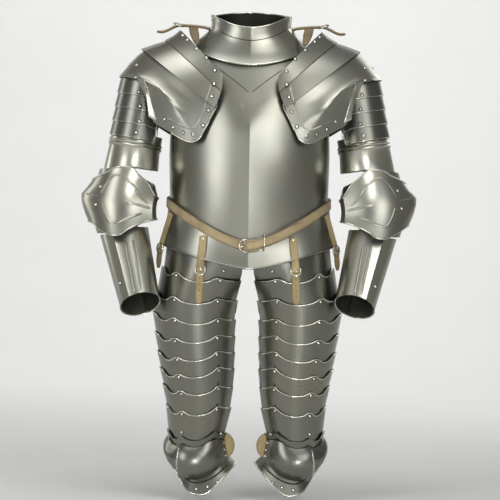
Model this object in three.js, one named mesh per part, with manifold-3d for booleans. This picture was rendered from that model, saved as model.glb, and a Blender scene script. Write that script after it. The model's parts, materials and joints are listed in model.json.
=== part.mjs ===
// Half armour of articulated steel plates: gorget, breastplate and backplate, fauld,
// laminated pauldrons, cannons and couters of the arms, and long tassets of nine
// scalloped plates each that end in poleyns. Millimetres, +Z up, the front faces -Y.
// The origin is the seat of the gorget, where a wearer's or a stand's shoulders carry it.
import * as THREE from "three";
import * as BufferGeometryUtils from "three/addons/utils/BufferGeometryUtils.js";
import Module from "manifold-3d";

const manifoldModule = await Module();
manifoldModule.setup();
const { Manifold, Mesh: ManifoldMesh } = manifoldModule;

// Driving sizes of the sheets
const plateWall = 1.5;
const seatGap = 0.35;
const leatherWall = 3.2;
const beadRise = 2.4;

// Torso sizes, front and back halves share the side line
const chestWidth = 352;
const chestDepth = 146;
const backDepth = 118;
const ridgeHeight = 13;
const waistHeight = 340;
const waistDrop = 95;
const armholeDepth = 182;
const necklineDrop = 24;
const creaseDrop = 104;
const creaseFade = 70;
const waistLap = 14;
const seamGap = 0.4;
const lapGap = 0.8;

// Fauld and back skirt sizes
const fauldSideHeight = 88;
const fauldFrontHeight = 45;
const skirtFlare = 15;
const skirtFrontFlare = 21;
const backSkirtHeight = 50;

// Waist belt sizes
const beltWidth = 20;
const beltBuckleRadius = 13;
const buckleWire = 2.6;
const beltLift = 1.2;

// Gorget sizes
const collarWidth = 172;
const collarDepth = 158;
const collarFrontRim = 42;
const collarSideRim = 75;
const collarBackRim = 89.5;
const collarBand = 28;
const gorgetWidth = 262;
const gorgetFrontDrop = 40;
const gorgetBackDrop = 34;
const gorgetSideDrop = 4;
const gorgetSeat = 2.1;
const gorgetBackSeat = 0.6;

// Pauldron sizes, the plates run over the shoulder from back to front
const pauldronReach = 290;
const pauldronDrop = 211;
const pauldronRise = 42;
const wingLift = 4;
const stripLap = 9.2;
const nestLift = 1.5;
const wingNest = 3.15;
const neckNest = 1.5;

// Upper arm sizes along its leaning axis
const shoulderHalf = 226;
const shoulderDrop = 60;
const armRadius = 58.5;
const lameStart = 17;
const lamePitch = 31;
const lameLap = 9;
const cannonTop = 130;
const cannonEnd = 203;
const cannonEndRise = 40;
const cannonRadius = 56.1;
const cannonFlare = 4.2;
const ringRise = 3.6;
const ringWidth = 7;

// Elbow and forearm sizes
const elbowHalf = 278;
const elbowDrop = 337;
const couterReach = 99;
const couterHeight = 80;
const elbowLameHigh = 71;
const elbowLameLow = 27;
const elbowLameWide = 67.9;
const elbowLameNarrow = 62.5;
const elbowLameWrist = 60;
const shankRadius = 2.8;
const facetRoom = 0.65;
const upperShankHeight = 62;
const copShankHeight = 33;
const lowerShankHeight = 63;
const forearmLength = 222;
const forearmTop = 56;
const forearmTopRadius = 56;
const wristRadius = 45.5;
const fluteDepth = 2.2;

// Leg sizes: the tasset hangs inside the fauld's edge and ends at the knee
const legHang = 128;
const legStart = waistHeight + legHang;
const legLength = 400;
const legSpread = 112;
const legHalfWidth = 93;
const legDepth = 108;
const legBack = 12;
const legNest = 2.6;
const lowLegNest = 1.75;
const kneeNest = 3.9;
const kneeTuck = 3;
const tuckGap = 7;
const tuckLap = 18;
const lameTuck = 15;
const scallopDepth = 14;
const innerScallop = 5;
const outerScallop = 8;
const outerRise = 12;
const poleynLift = 3.65;
const kneeBand = 15;
const kneeBulge = 19;
const kneeLength = 107;
const flangeFlare = 24;

// Strap sizes
const tassetStrapWidth = 18;
const tassetBuckleRadius = 12;
const innerStrapHang = 109;
const innerStrapLength = 108;
const innerBuckleHang = 25;
const outerStrapHang = 22;
const outerStrapLength = 120;
const strapTip = 14;
const outerLean = 9;
const strapRide = 1.9;
const fauldStrapRide = 0.4;
const strapSwing = 3.5;
const strapPinHang = 51;
const strapStart = 3;
const shoulderStrapRise = 52;
const shoulderTabLength = 52;
const shoulderTabDrop = 36;
const shoulderStrapWidth = 22;
const shoulderBuckleRadius = 12;

// Angles in degrees
const lameSpan = 132;
const seamTurn = -77.5;
const seamOpening = 0.5;
const hingeTurn = 89;
const fluteTurn = -112;
const fluteSpan = 30;
const bellyInner = -1.8;
const bellyOuter = -87;

// Section shapes, plain numbers without a unit
const sectionPower = 2.35;
const waistPower = 1.5;
const flarePower = 1.2;
const armholePower = 1.6;
const shoulderRimShare = 0.33;
const creaseSlopeShare = 1.4;
const backWaistShare = 0.8;
const neckPlateShare = 0.2;
const shoulderPlateShare = 0.42;
const wingTopPower = 1.25;
const wingCrestShare = 0.61;
const wingCornerShare = 0.6;
const wingStepShare = 0.5;
const ringLeadShare = 1.4;
const ringSharpShare = 0.45;
const ringShoulderShare = 0.8;
const couterPeakShare = 0.17;
const fluteCount = 9;
const legJoinShare = 0.12;
const legBlendShare = 0.4;
const scallopPower = 0.8;
const innerScallopShare = 0.76;
const outerRiseShare = 0.25;
const copShare = 0.75;
const kneeSideShare = 0.1;
const strapPointShare = 0.3;
const strapCatchShare = 0.38;
const strapHangShare = 0.12;
const outerBuckleShare = 0.66;
const shoulderTabShare = 0.27;
const shoulderBuckleShare = 0.5;
const strapEndShare = 0.717;
const strapPinShare = 0.52;
const strapBackShare = 0.03;
const platePinShare = 0.03;
const topPinShare = 0.66;
const pinSlopeShare = 0.1;
const tabTopShare = 0.45;
const tabTipShare = 0.2;
const gorgetPinShare = 0.52;
const gorgetSlopeShare = 0.6;
const probeShare = 0.0008;
const torsoWidthShares = [0.72, 0.86, 0.94, 0.985, 1, 0.995, 0.985];
const frontDepthShares = [0.5, 0.68, 0.82, 0.94, 1, 1.0, 0.97, 0.9];
const backDepthShares = [0.62, 0.92, 1, 0.98, 0.9, 0.8, 0.74];
const gorgetWidthShares = [0.665, 0.66, 0.675, 0.84, 0.915, 0.965];
const gorgetDepthShares = [0, 0, 0.04, 0.3, 0.66, 1];
const wingTopAcrossShares = [0.54, 0.63, 0.8, 0.89, 0.955, 1];
const wingTopUpShares = [1, 0.5, 0.06, -0.5, -1.07, -1.5];
const wingEndAcrossShares = [0.21, 0.21, 0.25, 0.31, 0.43, 0.72];
const wingEndDownShares = [0.3, 0.45, 0.6, 0.8, 1, 0.79];
const wingDepthShares = [0.79, 0.84, 0.87, 0.89, 0.88, 0.57];
const pauldronRowShares = [0, 0.24, 0.44, 0.58, 0.72, 0.86, 1];
const legCentreShares = [0.91, 1.02, 1, 0.95, 0.91, 0.965];
const legWidthShares = [1, 1, 0.945, 0.87, 0.765, 0.65];
const legDepthShares = [1, 0.945, 0.89, 0.83, 0.74, 0.63];
const outerCuspShares = [0.0565, 0.1875, 0.301, 0.411, 0.515, 0.6065, 0.696, 0.8075, 0.945];
const innerCuspShares = [0.084, 0.194, 0.302, 0.3915, 0.48, 0.5675, 0.669, 0.78, 0.916];
const kneeRadiusShares = [0, 0.62, 0.95, 1, 0.72, 0.05];
const kneeLowShares = [0.215, 0.318, 0.505, 0.636, 0.673, 0.636, 0.505, 0.29, 0.168];
const kneeCloseShares = [0.32, 0.21, -0.1, -0.37, -0.53, -0.74, -0.63, -0.32, -0.16];
const flangeEdgeShares = [0.346, 0.458, 0.7, 0.94, 0.92, 0.76, 0.64, 0.44, 0.29];
const flangeReachShares = [0.875, 0.83, 0.75, 0.62, 0.34, -0.42, -0.83, -0.5, -0.29];
const shoulderStrapAcrossShares = [0, 0.22, 0.55, 0.8, 1];
const shoulderStrapUpShares = [0.93, 0.97, 1, 0.76, 0.68];
const backFullnessShare = 0.13;
const armLeanShare = 0.169;
const forearmInShare = 0.266;
const forearmForwardShare = 0.51;
const doorStartShare = 0.11;
const couterRadiusShares = [1, 0.93, 0.83, 0.78, 0.765, 0.78, 0.82, 0.93, 0.76, 0.7, 0.7, 0.71, 0.73, 0.75, 0.81, 0.91];
const couterEdgeShares = [0.745, 0.74, 0.73, 0.76, 0.8, 0.82, 0.84, 0.94, 0.77, 0.71, 0.71, 0.72, 0.74, 0.75, 0.74, 0.74];
const couterTopShares = [0.58, 0.6, 0.66, 0.77, 0.94, 0.87, 0.53, 0.12, 0.04, 0.28, 0.48, 0.6, 0.66, 0.6, 0.54, 0.5];
const couterLowShares = [0.55, 0.56, 0.64, 0.84, 0.96, 0.78, 0.585, 0.5, 0.45, 0.42, 0.5, 0.58, 0.62, 0.6, 0.57, 0.55];

// Finishes of the metal and leather
const steelFinish = { color: 0x8f8f88, roughness: 0.32, metalness: 0.95 };
const leatherFinish = { color: 0xb98e5c, roughness: 0.75, metalness: 0 };

// General curve helpers
const quarterTurn = Math.PI / 2;
const clamp = (value, low, high) => Math.min(high, Math.max(low, value));
const mix = (from, to, share) => from + (to - from) * share;
const degrees = (angle) => THREE.MathUtils.degToRad(angle);

function smooth(share) {
  const held = clamp(share, 0, 1);
  return held * held * (3 - 2 * held);
}

// Reads a table of evenly spaced values with smooth steps between them
function along(table, share) {
  const place = clamp(share, 0, 1) * (table.length - 1);
  const first = Math.min(Math.floor(place), table.length - 2);
  const rest = place - first;
  const last = table.length - 1;
  const before = first > 0 ? table[first - 1] : 2 * table[0] - table[1];
  const after = first + 2 <= last ? table[first + 2] : 2 * table[last] - table[last - 1];
  const slopeIn = (table[first + 1] - before) / 2;
  const slopeOut = (after - table[first]) / 2;
  const square = rest * rest;
  const cube = square * rest;
  return (2 * cube - 3 * square + 1) * table[first] + (cube - 2 * square + rest) * slopeIn
    + (3 * square - 2 * cube) * table[first + 1] + (cube - square) * slopeOut;
}

// Outward direction of a surface point, from its two neighbours each way
function surfaceNormal(surface, u, v, wraps) {
  const lowU = wraps ? u - probeShare : Math.max(u - probeShare, 0);
  const highU = wraps ? u + probeShare : Math.min(u + probeShare, 1);
  const acrossU = surface(highU, v).sub(surface(lowU, v));
  const acrossV = surface(u, Math.min(v + probeShare, 1)).sub(surface(u, Math.max(v - probeShare, 0)));
  return acrossU.cross(acrossV).normalize();
}

// One sheet of even wall: the surface gives its outer face, u and v run from 0 to 1
function sheet(surface, columns, rows, wall, wraps = false, shift = null) {
  const across = wraps ? columns : columns + 1;
  const points = [];
  for (const depth of [0, wall]) {
    for (let row = 0; row <= rows; row += 1) {
      for (let column = 0; column < across; column += 1) {
        const u = column / columns;
        const v = row / rows;
        const normal = surfaceNormal(surface, u, v, wraps);
        const lift = shift ? shift(u, v) : 0;
        points.push(surface(u, v).addScaledVector(normal, lift - depth));
      }
    }
  }
  const inner = across * (rows + 1);
  const at = (column, row) => row * across + (wraps ? column % columns : column);
  const index = [];
  const quad = (a, b, c, d) => index.push(a, b, c, a, c, d);
  for (let row = 0; row < rows; row += 1) {
    for (let column = 0; column < columns; column += 1) {
      const corners = [at(column, row), at(column + 1, row), at(column + 1, row + 1), at(column, row + 1)];
      quad(...corners);
      quad(...corners.reverse().map((corner) => corner + inner));
    }
  }
  for (let column = 0; column < columns; column += 1) {
    quad(at(column + 1, 0), at(column, 0), at(column, 0) + inner, at(column + 1, 0) + inner);
    quad(at(column, rows), at(column + 1, rows), at(column + 1, rows) + inner, at(column, rows) + inner);
  }
  if (!wraps) {
    for (let row = 0; row < rows; row += 1) {
      quad(at(0, row), at(0, row + 1), at(0, row + 1) + inner, at(0, row) + inner);
      quad(at(columns, row + 1), at(columns, row), at(columns, row) + inner, at(columns, row + 1) + inner);
    }
  }
  const geometry = new THREE.BufferGeometry();
  geometry.setAttribute("position", new THREE.Float32BufferAttribute(points.flatMap((point) => point.toArray()), 3));
  geometry.setIndex(index);
  return geometry;
}

// Joins closed solids into one
function toManifold(geometry) {
  const bare = new THREE.BufferGeometry();
  bare.setAttribute("position", geometry.getAttribute("position").clone());
  if (geometry.index) bare.setIndex(geometry.index.clone());
  const welded = BufferGeometryUtils.mergeVertices(bare);
  const mesh = new ManifoldMesh({
    numProp: 3,
    vertProperties: Float32Array.from(welded.getAttribute("position").array),
    triVerts: Uint32Array.from(welded.index.array),
  });
  mesh.merge();
  return new Manifold(mesh);
}

function joined(...geometries) {
  const solid = Manifold.union(geometries.map(toManifold));
  const mesh = solid.getMesh();
  const geometry = new THREE.BufferGeometry();
  geometry.setAttribute("position", new THREE.Float32BufferAttribute(mesh.vertProperties, 3));
  geometry.setIndex(Array.from(mesh.triVerts));
  return geometry;
}

// The same solid on the wearer's other side
function mirrored(geometry) {
  const copy = geometry.clone();
  copy.scale(-1, 1, 1);
  const index = Array.from(copy.index.array);
  for (let corner = 0; corner < index.length; corner += 3) {
    [index[corner], index[corner + 1]] = [index[corner + 1], index[corner]];
  }
  copy.setIndex(index);
  return copy;
}

// Torso section: half width, front and back depth at a height
const torsoSpan = waistHeight + waistDrop;
const halfChest = chestWidth / 2;

function torsoHalfWidth(z) {
  return halfChest * along(torsoWidthShares, -z / waistHeight);
}

function ridgeAt(x, z) {
  const crease = -creaseDrop + Math.abs(x) * (creaseDrop / halfChest) * creaseSlopeShare;
  return ridgeHeight * smooth((crease - z) / creaseFade);
}

// Point of the torso surface: turn runs from the right side over the front to the left side
function torsoPoint(turn, z, lift = 0) {
  const half = torsoHalfWidth(z) + lift;
  const sine = Math.sin(turn);
  const share = Math.pow(Math.abs(sine), 2 / sectionPower) * Math.sign(sine);
  const cosine = Math.cos(turn);
  const bulge = Math.abs(cosine);
  const x = half * share;
  if (cosine >= 0) {
    const depth = chestDepth * along(frontDepthShares, -z / torsoSpan) + lift;
    const ridge = ridgeAt(x, z) * Math.pow(1 - Math.abs(share), 2);
    return new THREE.Vector3(x, -depth * bulge - ridge, z);
  }
  const depth = backDepth * along(backDepthShares, -z / waistHeight) + lift;
  return new THREE.Vector3(x, depth * bulge, z);
}

// Depth of breast or back from the side line, at a place of the front view
function torsoDepthAt(x, z, front) {
  const share = clamp(Math.abs(x) / torsoHalfWidth(z), 0, 1);
  const turn = Math.asin(Math.pow(share, sectionPower / 2));
  return Math.abs(torsoPoint(front ? turn : 2 * quarterTurn - turn, z).y);
}

const sideShare = (turn) => Math.pow(Math.abs(Math.sin(turn)), 2 / sectionPower);

function waistLine(turn) {
  if (Math.cos(turn) < 0) return -waistHeight;
  return -waistHeight - waistDrop * (1 - Math.pow(sideShare(turn), waistPower));
}

// Upper edge of breast and back: neckline, shoulder, then the arm hole down to the side
const neckShare = 0.8;
function torsoTop(turn, drop) {
  const share = sideShare(turn);
  if (share < neckShare) return -drop * (1 - Math.pow(share / neckShare, 2)) - necklineDrop * shoulderRimShare;
  const fall = (share - neckShare) / (1 - neckShare);
  return -necklineDrop * shoulderRimShare - armholeDepth * Math.pow(fall, armholePower);
}

// Widening of the skirt below the waist, used by fauld and back skirt
function skirtPoint(turn, z, lift) {
  const below = clamp((waistLine(turn) - z) / fauldSideHeight, 0, 1);
  const flare = mix(skirtFrontFlare, skirtFlare, sideShare(turn)) * Math.pow(below, flarePower);
  return torsoPoint(turn, Math.max(z, waistLine(turn)), lift + flare).setZ(z);
}

function breastplate() {
  const edge = quarterTurn - seamGap / chestDepth;
  return sheet((u, v) => {
    const turn = mix(edge, -edge, u);
    const z = mix(torsoTop(turn, necklineDrop), waistLine(turn), v);
    return torsoPoint(turn, z);
  }, 22, 10, plateWall);
}

// Rows of the backplate, one of them at the waist
const backRows = 10;

function backplate() {
  const edge = quarterTurn + seamGap / backDepth;
  return sheet((u, v) => {
    const turn = mix(4 * quarterTurn - edge, edge, u);
    const top = torsoTop(turn, necklineDrop / 2);
    if (v <= backWaistShare) return torsoPoint(turn, mix(top, -waistHeight, v / backWaistShare));
    return skirtPoint(turn, -waistHeight - backSkirtHeight * (v - backWaistShare) / (1 - backWaistShare), 0);
  }, 16, backRows, plateWall);
}

function fauldLow(turn) {
  const side = waistHeight + fauldSideHeight;
  const front = waistHeight + waistDrop + fauldFrontHeight;
  return -mix(front, side, Math.pow(sideShare(turn), waistPower));
}

function fauld() {
  const edge = quarterTurn - seamGap / chestDepth;
  const lift = plateWall + lapGap;
  return sheet((u, v) => {
    const turn = mix(edge, -edge, u);
    return skirtPoint(turn, mix(waistLine(turn) + waistLap, fauldLow(turn), v), lift);
  }, 22, 3, plateWall, false, (u, v) => (v === 1 ? beadRise : 0));
}

// Belt round the waist over the fauld's upper lap, with its round buckle in front
function beltLine(turn) {
  return waistLine(turn) + waistLap / 2;
}

function waistBelt() {
  const lift = 2 * (plateWall + seatGap) + leatherWall + beltLift;
  const strap = sheet((u, v) => {
    const turn = mix(4 * quarterTurn, 0, u);
    const z = beltLine(turn) + beltWidth * (0.5 - v);
    return torsoPoint(turn, beltLine(turn), lift).setZ(z);
  }, 34, 1, leatherWall, true);
  const centre = torsoPoint(0, beltLine(0), lift + buckleWire / 2).setZ(beltLine(0));
  return joined(strap, buckleRing(centre, new THREE.Vector3(0, -1, 0), beltBuckleRadius));
}

// Gorget halves: collar band above, yoke below that rests on breast and back
function gorgetPoint(turn, v) {
  const front = Math.cos(turn) >= 0;
  const facing = Math.pow(Math.cos(turn), 2);
  const rim = mix(collarSideRim, front ? collarFrontRim : collarBackRim, facing);
  const low = -mix(gorgetSideDrop, front ? gorgetFrontDrop : gorgetBackDrop, facing);
  const z = mix(rim, low, v);
  const half = (gorgetWidth / 2) * along(gorgetWidthShares, v);
  const x = half * Math.sin(turn);
  const lowest = front ? -gorgetFrontDrop : -gorgetBackDrop;
  const rest = plateWall + (front ? gorgetSeat : gorgetBackSeat);
  const seat = Math.abs(torsoPoint(front ? 0 : 2 * quarterTurn, lowest).y) + rest;
  const depth = mix(collarDepth / 2, seat, along(gorgetDepthShares, v)) * Math.abs(Math.cos(turn));
  const floor = torsoDepthAt(x, z, front) + rest;
  const y = z < 0 && Math.abs(x) < torsoHalfWidth(z) ? Math.max(depth, floor) : depth;
  return new THREE.Vector3(x, front ? -y : y, z);
}

function gorgetHalf(front) {
  const edge = quarterTurn - seamGap / collarDepth;
  const middle = front ? 0 : 2 * quarterTurn;
  return sheet((u, v) => gorgetPoint(mix(middle + edge, middle - edge, u), v), 14, 6, plateWall,
    false, (u, v) => (v === 1 ? beadRise : 0));
}

// Pauldron surface of the right shoulder: along runs over the shoulder from back (-1) to front (1)
function wingPoint(over, share) {
  const angle = over * quarterTurn;
  const power = mix(wingTopPower, 1, share);
  const rise = Math.pow(Math.max(Math.cos(angle), 0), power);
  const reach = Math.pow(Math.abs(Math.sin(angle)), power);
  const topX = -pauldronReach * along(wingTopAcrossShares, share);
  const topZ = pauldronRise * along(wingTopUpShares, share);
  const endX = -pauldronReach * along(wingEndAcrossShares, share);
  const endZ = -pauldronDrop * along(wingEndDownShares, share);
  const fall = 1 - rise;
  const crest = fall < wingCrestShare ? fall / wingCrestShare : (1 - fall) / (1 - wingCrestShare);
  const corner = smooth((share - wingCornerShare) / (1 - wingCornerShare));
  const step = Math.abs(topZ - endZ) * wingStepShare * crest * corner;
  const fuller = over > 0 ? 0 : backFullnessShare;
  const depth = (over > 0 ? chestDepth : backDepth) * (along(wingDepthShares, share) + fuller) + wingLift;
  return new THREE.Vector3(mix(topX, endX, fall), -Math.sign(over) * depth * reach, mix(topZ, endZ, fall) + step);
}

const stripShare = stripLap / pauldronReach;

function wingStrip(from, to, columns, rows, lowLift, highLift, rowShares = [0, 1]) {
  return sheet((u, v) => {
    const place = v * (rowShares.length - 1);
    const row = Math.min(Math.floor(place), rowShares.length - 2);
    return wingPoint(mix(1, -1, u), mix(from, to, mix(rowShares[row], rowShares[row + 1], place - row)));
  }, columns, rows, plateWall, false, (u, v) => mix(highLift, lowLift, v));
}

// Point of the upper arm: axial distance down its leaning axis and turn about it, 0 faces outward
function armPoint(axial, turn, radius) {
  const down = new THREE.Vector3(-armLeanShare, 0, -1).normalize();
  const outward = new THREE.Vector3(-1, 0, armLeanShare).normalize();
  const start = new THREE.Vector3(-shoulderHalf, 0, -shoulderDrop);
  return start.addScaledVector(down, axial).addScaledVector(outward, radius * Math.cos(turn))
    .add(new THREE.Vector3(0, -radius * Math.sin(turn), 0));
}

function shoulderLame(number) {
  const low = lameStart + lamePitch * number;
  const high = low - lamePitch - lameLap;
  const span = degrees(lameSpan);
  return sheet((u, v) => {
    const turn = mix(span, -span, u);
    return armPoint(mix(high, low, v), turn, armRadius + nestLift * (2 * v - 1));
  }, 12, 1, plateWall);
}

// Tube of the upper arm with the doubled ring in which the arm turns
const ringAt = lameStart + lamePitch * 4 + ringWidth * ringLeadShare;
function cannonRadiusAt(axial) {
  const first = Math.exp(-Math.pow((axial - ringAt) / (ringWidth * ringSharpShare), 2));
  const second = Math.exp(-Math.pow((axial - ringAt - ringWidth) / (ringWidth * ringSharpShare), 2));
  const open = smooth((axial - ringAt - ringWidth * 2) / (cannonEnd - ringAt - ringWidth * 2));
  return cannonRadius + ringRise * Math.max(first, second) + cannonFlare * open;
}

function upperCannon() {
  const shoulder = ringWidth * ringShoulderShare;
  const stations = [cannonTop, ringAt - shoulder, ringAt, ringAt + ringWidth / 2, ringAt + ringWidth,
    ringAt + ringWidth + shoulder, cannonEnd];
  return sheet((u, v) => {
    const turn = u * 4 * quarterTurn;
    const place = v * (stations.length - 1);
    const index = Math.min(Math.floor(place), stations.length - 2);
    const end = cannonEnd + cannonEndRise * Math.max(0, Math.cos(turn));
    const raw = mix(stations[index], stations[index + 1], place - index);
    const axial = raw * (index === stations.length - 2 ? mix(1, end / cannonEnd, place - index) : 1);
    return armPoint(axial, -turn, cannonRadiusAt(raw));
  }, 18, stations.length - 1, plateWall, true);
}

// Centre of the arm at a height above (+) or below (-) the elbow
function armCentre(height) {
  const bend = clamp(-height / forearmTop, 0, 1);
  const below = Math.max(-height - forearmTop, 0);
  const lean = armLeanShare * height;
  const inward = forearmTop * (bend * bend * (forearmInShare + armLeanShare)) / 2;
  const x = height > -forearmTop
    ? -elbowHalf + lean + inward
    : -elbowHalf - armLeanShare * forearmTop + forearmTop * (forearmInShare + armLeanShare) / 2
      + forearmInShare * below;
  const lead = forearmTop / 2;
  const forward = Math.max(lead - height, 0);
  const span = lead + forearmTop;
  const y = height > -forearmTop
    ? -forearmForwardShare * forward * forward / (2 * span)
    : -forearmForwardShare * (span / 2 + below);
  return new THREE.Vector3(x, y, height - elbowDrop);
}

// Direction about the arm, 0 along the point of the elbow, negative turns to the front
const elbowBack = degrees(12);
const upperLameSpan = degrees(80);
const lowerLameSpan = degrees(106);
const shankTurn = degrees(48);
const wristShankTurn = degrees(98);
function armDirection(turn) {
  return new THREE.Vector3(-Math.cos(turn + elbowBack), Math.sin(turn + elbowBack), 0);
}

function around(table, turn) {
  const place = ((-turn / (4 * quarterTurn)) % 1 + 1) % 1 * table.length;
  const first = Math.floor(place) % table.length;
  return mix(table[first], table[(first + 1) % table.length], smooth(place - Math.floor(place)));
}

// Short rivet shank on one plate that ends a running gap away from the plate below it
function shank(height, turn, outer, inner) {
  const length = outer - inner - seatGap - facetRoom;
  const pin = new THREE.CylinderGeometry(shankRadius, shankRadius, length, 6);
  const direction = armDirection(turn);
  pin.applyQuaternion(new THREE.Quaternion().setFromUnitVectors(new THREE.Vector3(0, 1, 0), direction));
  const middle = armCentre(height).addScaledVector(direction, outer - length / 2);
  pin.translate(middle.x, middle.y, middle.z);
  return pin;
}

function couterReachAt(height, turn) {
  const top = couterHeight * around(couterTopShares, turn);
  const low = -couterHeight * around(couterLowShares, turn);
  const peak = mix((top + low) / 2, couterHeight * couterPeakShare, Math.max(Math.cos(turn), 0));
  const level = height > peak ? (height - peak) / (top - peak) : (peak - height) / (peak - low);
  return couterReach * mix(around(couterRadiusShares, turn), around(couterEdgeShares, turn), level);
}

function couter() {
  const plate = sheet((u, v) => {
    const turn = u * 4 * quarterTurn;
    const top = couterHeight * around(couterTopShares, turn);
    const low = -couterHeight * around(couterLowShares, turn);
    const height = mix(top, low, v);
    return armCentre(height).addScaledVector(armDirection(turn), couterReachAt(height, turn));
  }, 26, 6, plateWall, true);
  const shanks = [-1, 1].flatMap((end) => [-shankTurn, shankTurn].map((turn) => {
    const height = end * copShankHeight;
    const lame = elbowLameRadius(height);
    return shank(height, turn, couterReachAt(height, turn) - plateWall, lame);
  }));
  return joined(plate, ...shanks);
}

function elbowLameRadius(height) {
  const share = (elbowLameHigh - Math.abs(height)) / (elbowLameHigh - elbowLameLow);
  return mix(height > 0 ? elbowLameNarrow : elbowLameWrist, elbowLameWide, share);
}

function elbowLame(upper) {
  const span = upper ? upperLameSpan : lowerLameSpan;
  const plate = sheet((u, v) => {
    const turn = mix(-span, span, u);
    const height = upper ? mix(elbowLameHigh, elbowLameLow, v) : -mix(elbowLameLow, elbowLameHigh, v);
    return armCentre(height).addScaledVector(armDirection(turn), elbowLameRadius(height));
  }, upper ? 10 : 13, 1, plateWall);
  const turns = upper ? [-shankTurn, shankTurn] : [-wristShankTurn, wristShankTurn];
  const height = upper ? upperShankHeight : -lowerShankHeight;
  const shanks = turns.map((turn) => shank(height, turn, elbowLameRadius(height) - plateWall / 2,
    upper ? cannonReachAt(height, turn) : forearmTopRadius));
  return joined(plate, ...shanks);
}

// Distance from the elbow's centre line to the outside of the upper cannon
function cannonReachAt(height, turn) {
  const direction = armDirection(turn);
  const axis = new THREE.Vector3(-shoulderHalf - armLeanShare * (elbowDrop - shoulderDrop - height), 0, 0);
  const offset = armCentre(height).setZ(0).sub(axis);
  const lean = offset.dot(direction);
  const radius = cannonRadius + cannonFlare;
  return Math.sqrt(radius * radius - offset.lengthSq() + lean * lean) - lean;
}

// Forearm tube: share runs from the elbow end to the wrist
function forearmPoint(turn, share) {
  const direction = armDirection(turn);
  const radius = mix(forearmTopRadius, wristRadius, share);
  const tilt = (forearmInShare * direction.x - forearmForwardShare * direction.y) * radius;
  const height = mix(-forearmTop, -forearmLength + tilt, share);
  const aside = turn - degrees(fluteTurn);
  const flute = Math.abs(aside) < degrees(fluteSpan) ? Math.max(0, Math.cos(fluteCount * aside)) : 0;
  return armCentre(height).addScaledVector(direction, radius - fluteDepth * flute);
}

function vambrace(fromTurn, toTurn, columns, start) {
  return sheet((u, v) => forearmPoint(mix(fromTurn, toTurn, u), mix(start, 1, v)), columns, 1, plateWall);
}

// Leg section at a height: turn 0 faces front, positive turns to the inner side
const cuspInner = degrees(34);
const cuspOuter = degrees(-30);
const legInnerEnd = degrees(74);
const legOuterEnd = degrees(-98);

// Place on the skirt above the same edge of the leg
function bellyTurn(turn) {
  return degrees(mix(bellyInner, bellyOuter, (legInnerEnd - turn) / (legInnerEnd - legOuterEnd)));
}

function legPoint(turn, z, lift) {
  const share = (-z - legStart) / legLength;
  const centre = -legSpread * along(legCentreShares, share);
  const half = legHalfWidth * along(legWidthShares, share) + lift;
  const depth = legDepth * along(legDepthShares, share) + lift;
  const thigh = new THREE.Vector3(centre + half * Math.sin(turn), -legBack - depth * Math.cos(turn), z);
  return skirtPoint(bellyTurn(turn), z, lift - tuckGap).lerp(thigh, smooth((share + legJoinShare) / legBlendShare));
}

// Columns of a lame, with one on each of its two cusps
const lameColumns = 14;
const innerColumns = 3;
const outerColumns = 6;
const middleColumns = lameColumns - innerColumns - outerColumns;
function lameTurn(u) {
  const place = u * lameColumns;
  const beyond = place - innerColumns;
  if (beyond < 0) return mix(legInnerEnd, cuspInner, place / innerColumns);
  if (beyond < middleColumns) return mix(cuspInner, cuspOuter, beyond / middleColumns);
  return mix(cuspOuter, legOuterEnd, (beyond - middleColumns) / outerColumns);
}

// Scalloped line: two cusps at the rivets with a hollow curve between, inside and outside them
function scallopLine(number, turn) {
  const inner = -legStart - legLength * innerCuspShares[number];
  const outer = -legStart - legLength * outerCuspShares[number];
  if (turn > cuspInner) {
    const share = (turn - cuspInner) / (legInnerEnd - cuspInner);
    return inner - innerScallop * Math.sin(share * innerScallopShare * Math.PI);
  }
  if (turn > cuspOuter) {
    const share = (cuspInner - turn) / (cuspInner - cuspOuter);
    return mix(inner, outer, share) - scallopDepth * Math.pow(Math.sin(share * Math.PI), scallopPower);
  }
  const share = (cuspOuter - turn) / (cuspOuter - legOuterEnd);
  const hollow = outerScallop * Math.sin(Math.min(share * 2, 1) * Math.PI);
  return outer - hollow + outerRise * smooth((share - outerRiseShare / 2) / (1 - outerRiseShare));
}

function tassetTopPlate() {
  return sheet((u, v) => {
    const turn = lameTurn(u);
    const high = fauldLow(bellyTurn(turn)) + tuckLap;
    return legPoint(turn, mix(high, scallopLine(0, turn) - lameTuck, v), 0);
  }, lameColumns, 2, plateWall, false, (u, v) => mix(0, -legNest, v));
}

// Lame of the tasset: it overlaps the one above, its top edge is scalloped
function tassetLame(number) {
  const topNest = number < 3 ? legNest : lowLegNest;
  const lowNest = number < 2 ? legNest : lowLegNest;
  return sheet((u, v) => {
    const turn = lameTurn(u);
    const high = scallopLine(number - 1, turn);
    const low = scallopLine(number, turn) - lameTuck;
    return legPoint(turn, mix(high, low, v), 0);
  }, lameColumns, number < 3 ? 2 : 1, plateWall, false, (u, v) => mix(topNest, -lowNest, v));
}

function kneeTop(turn) {
  return scallopLine(8, turn) - kneeBand;
}

function kneeLame() {
  return sheet((u, v) => {
    const turn = lameTurn(u);
    return legPoint(turn, mix(scallopLine(8, turn), kneeTop(turn) - lameTuck, v), 0);
  }, lameColumns, 1, plateWall, false, (u, v) => mix(kneeNest, -kneeTuck, v));
}

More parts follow.
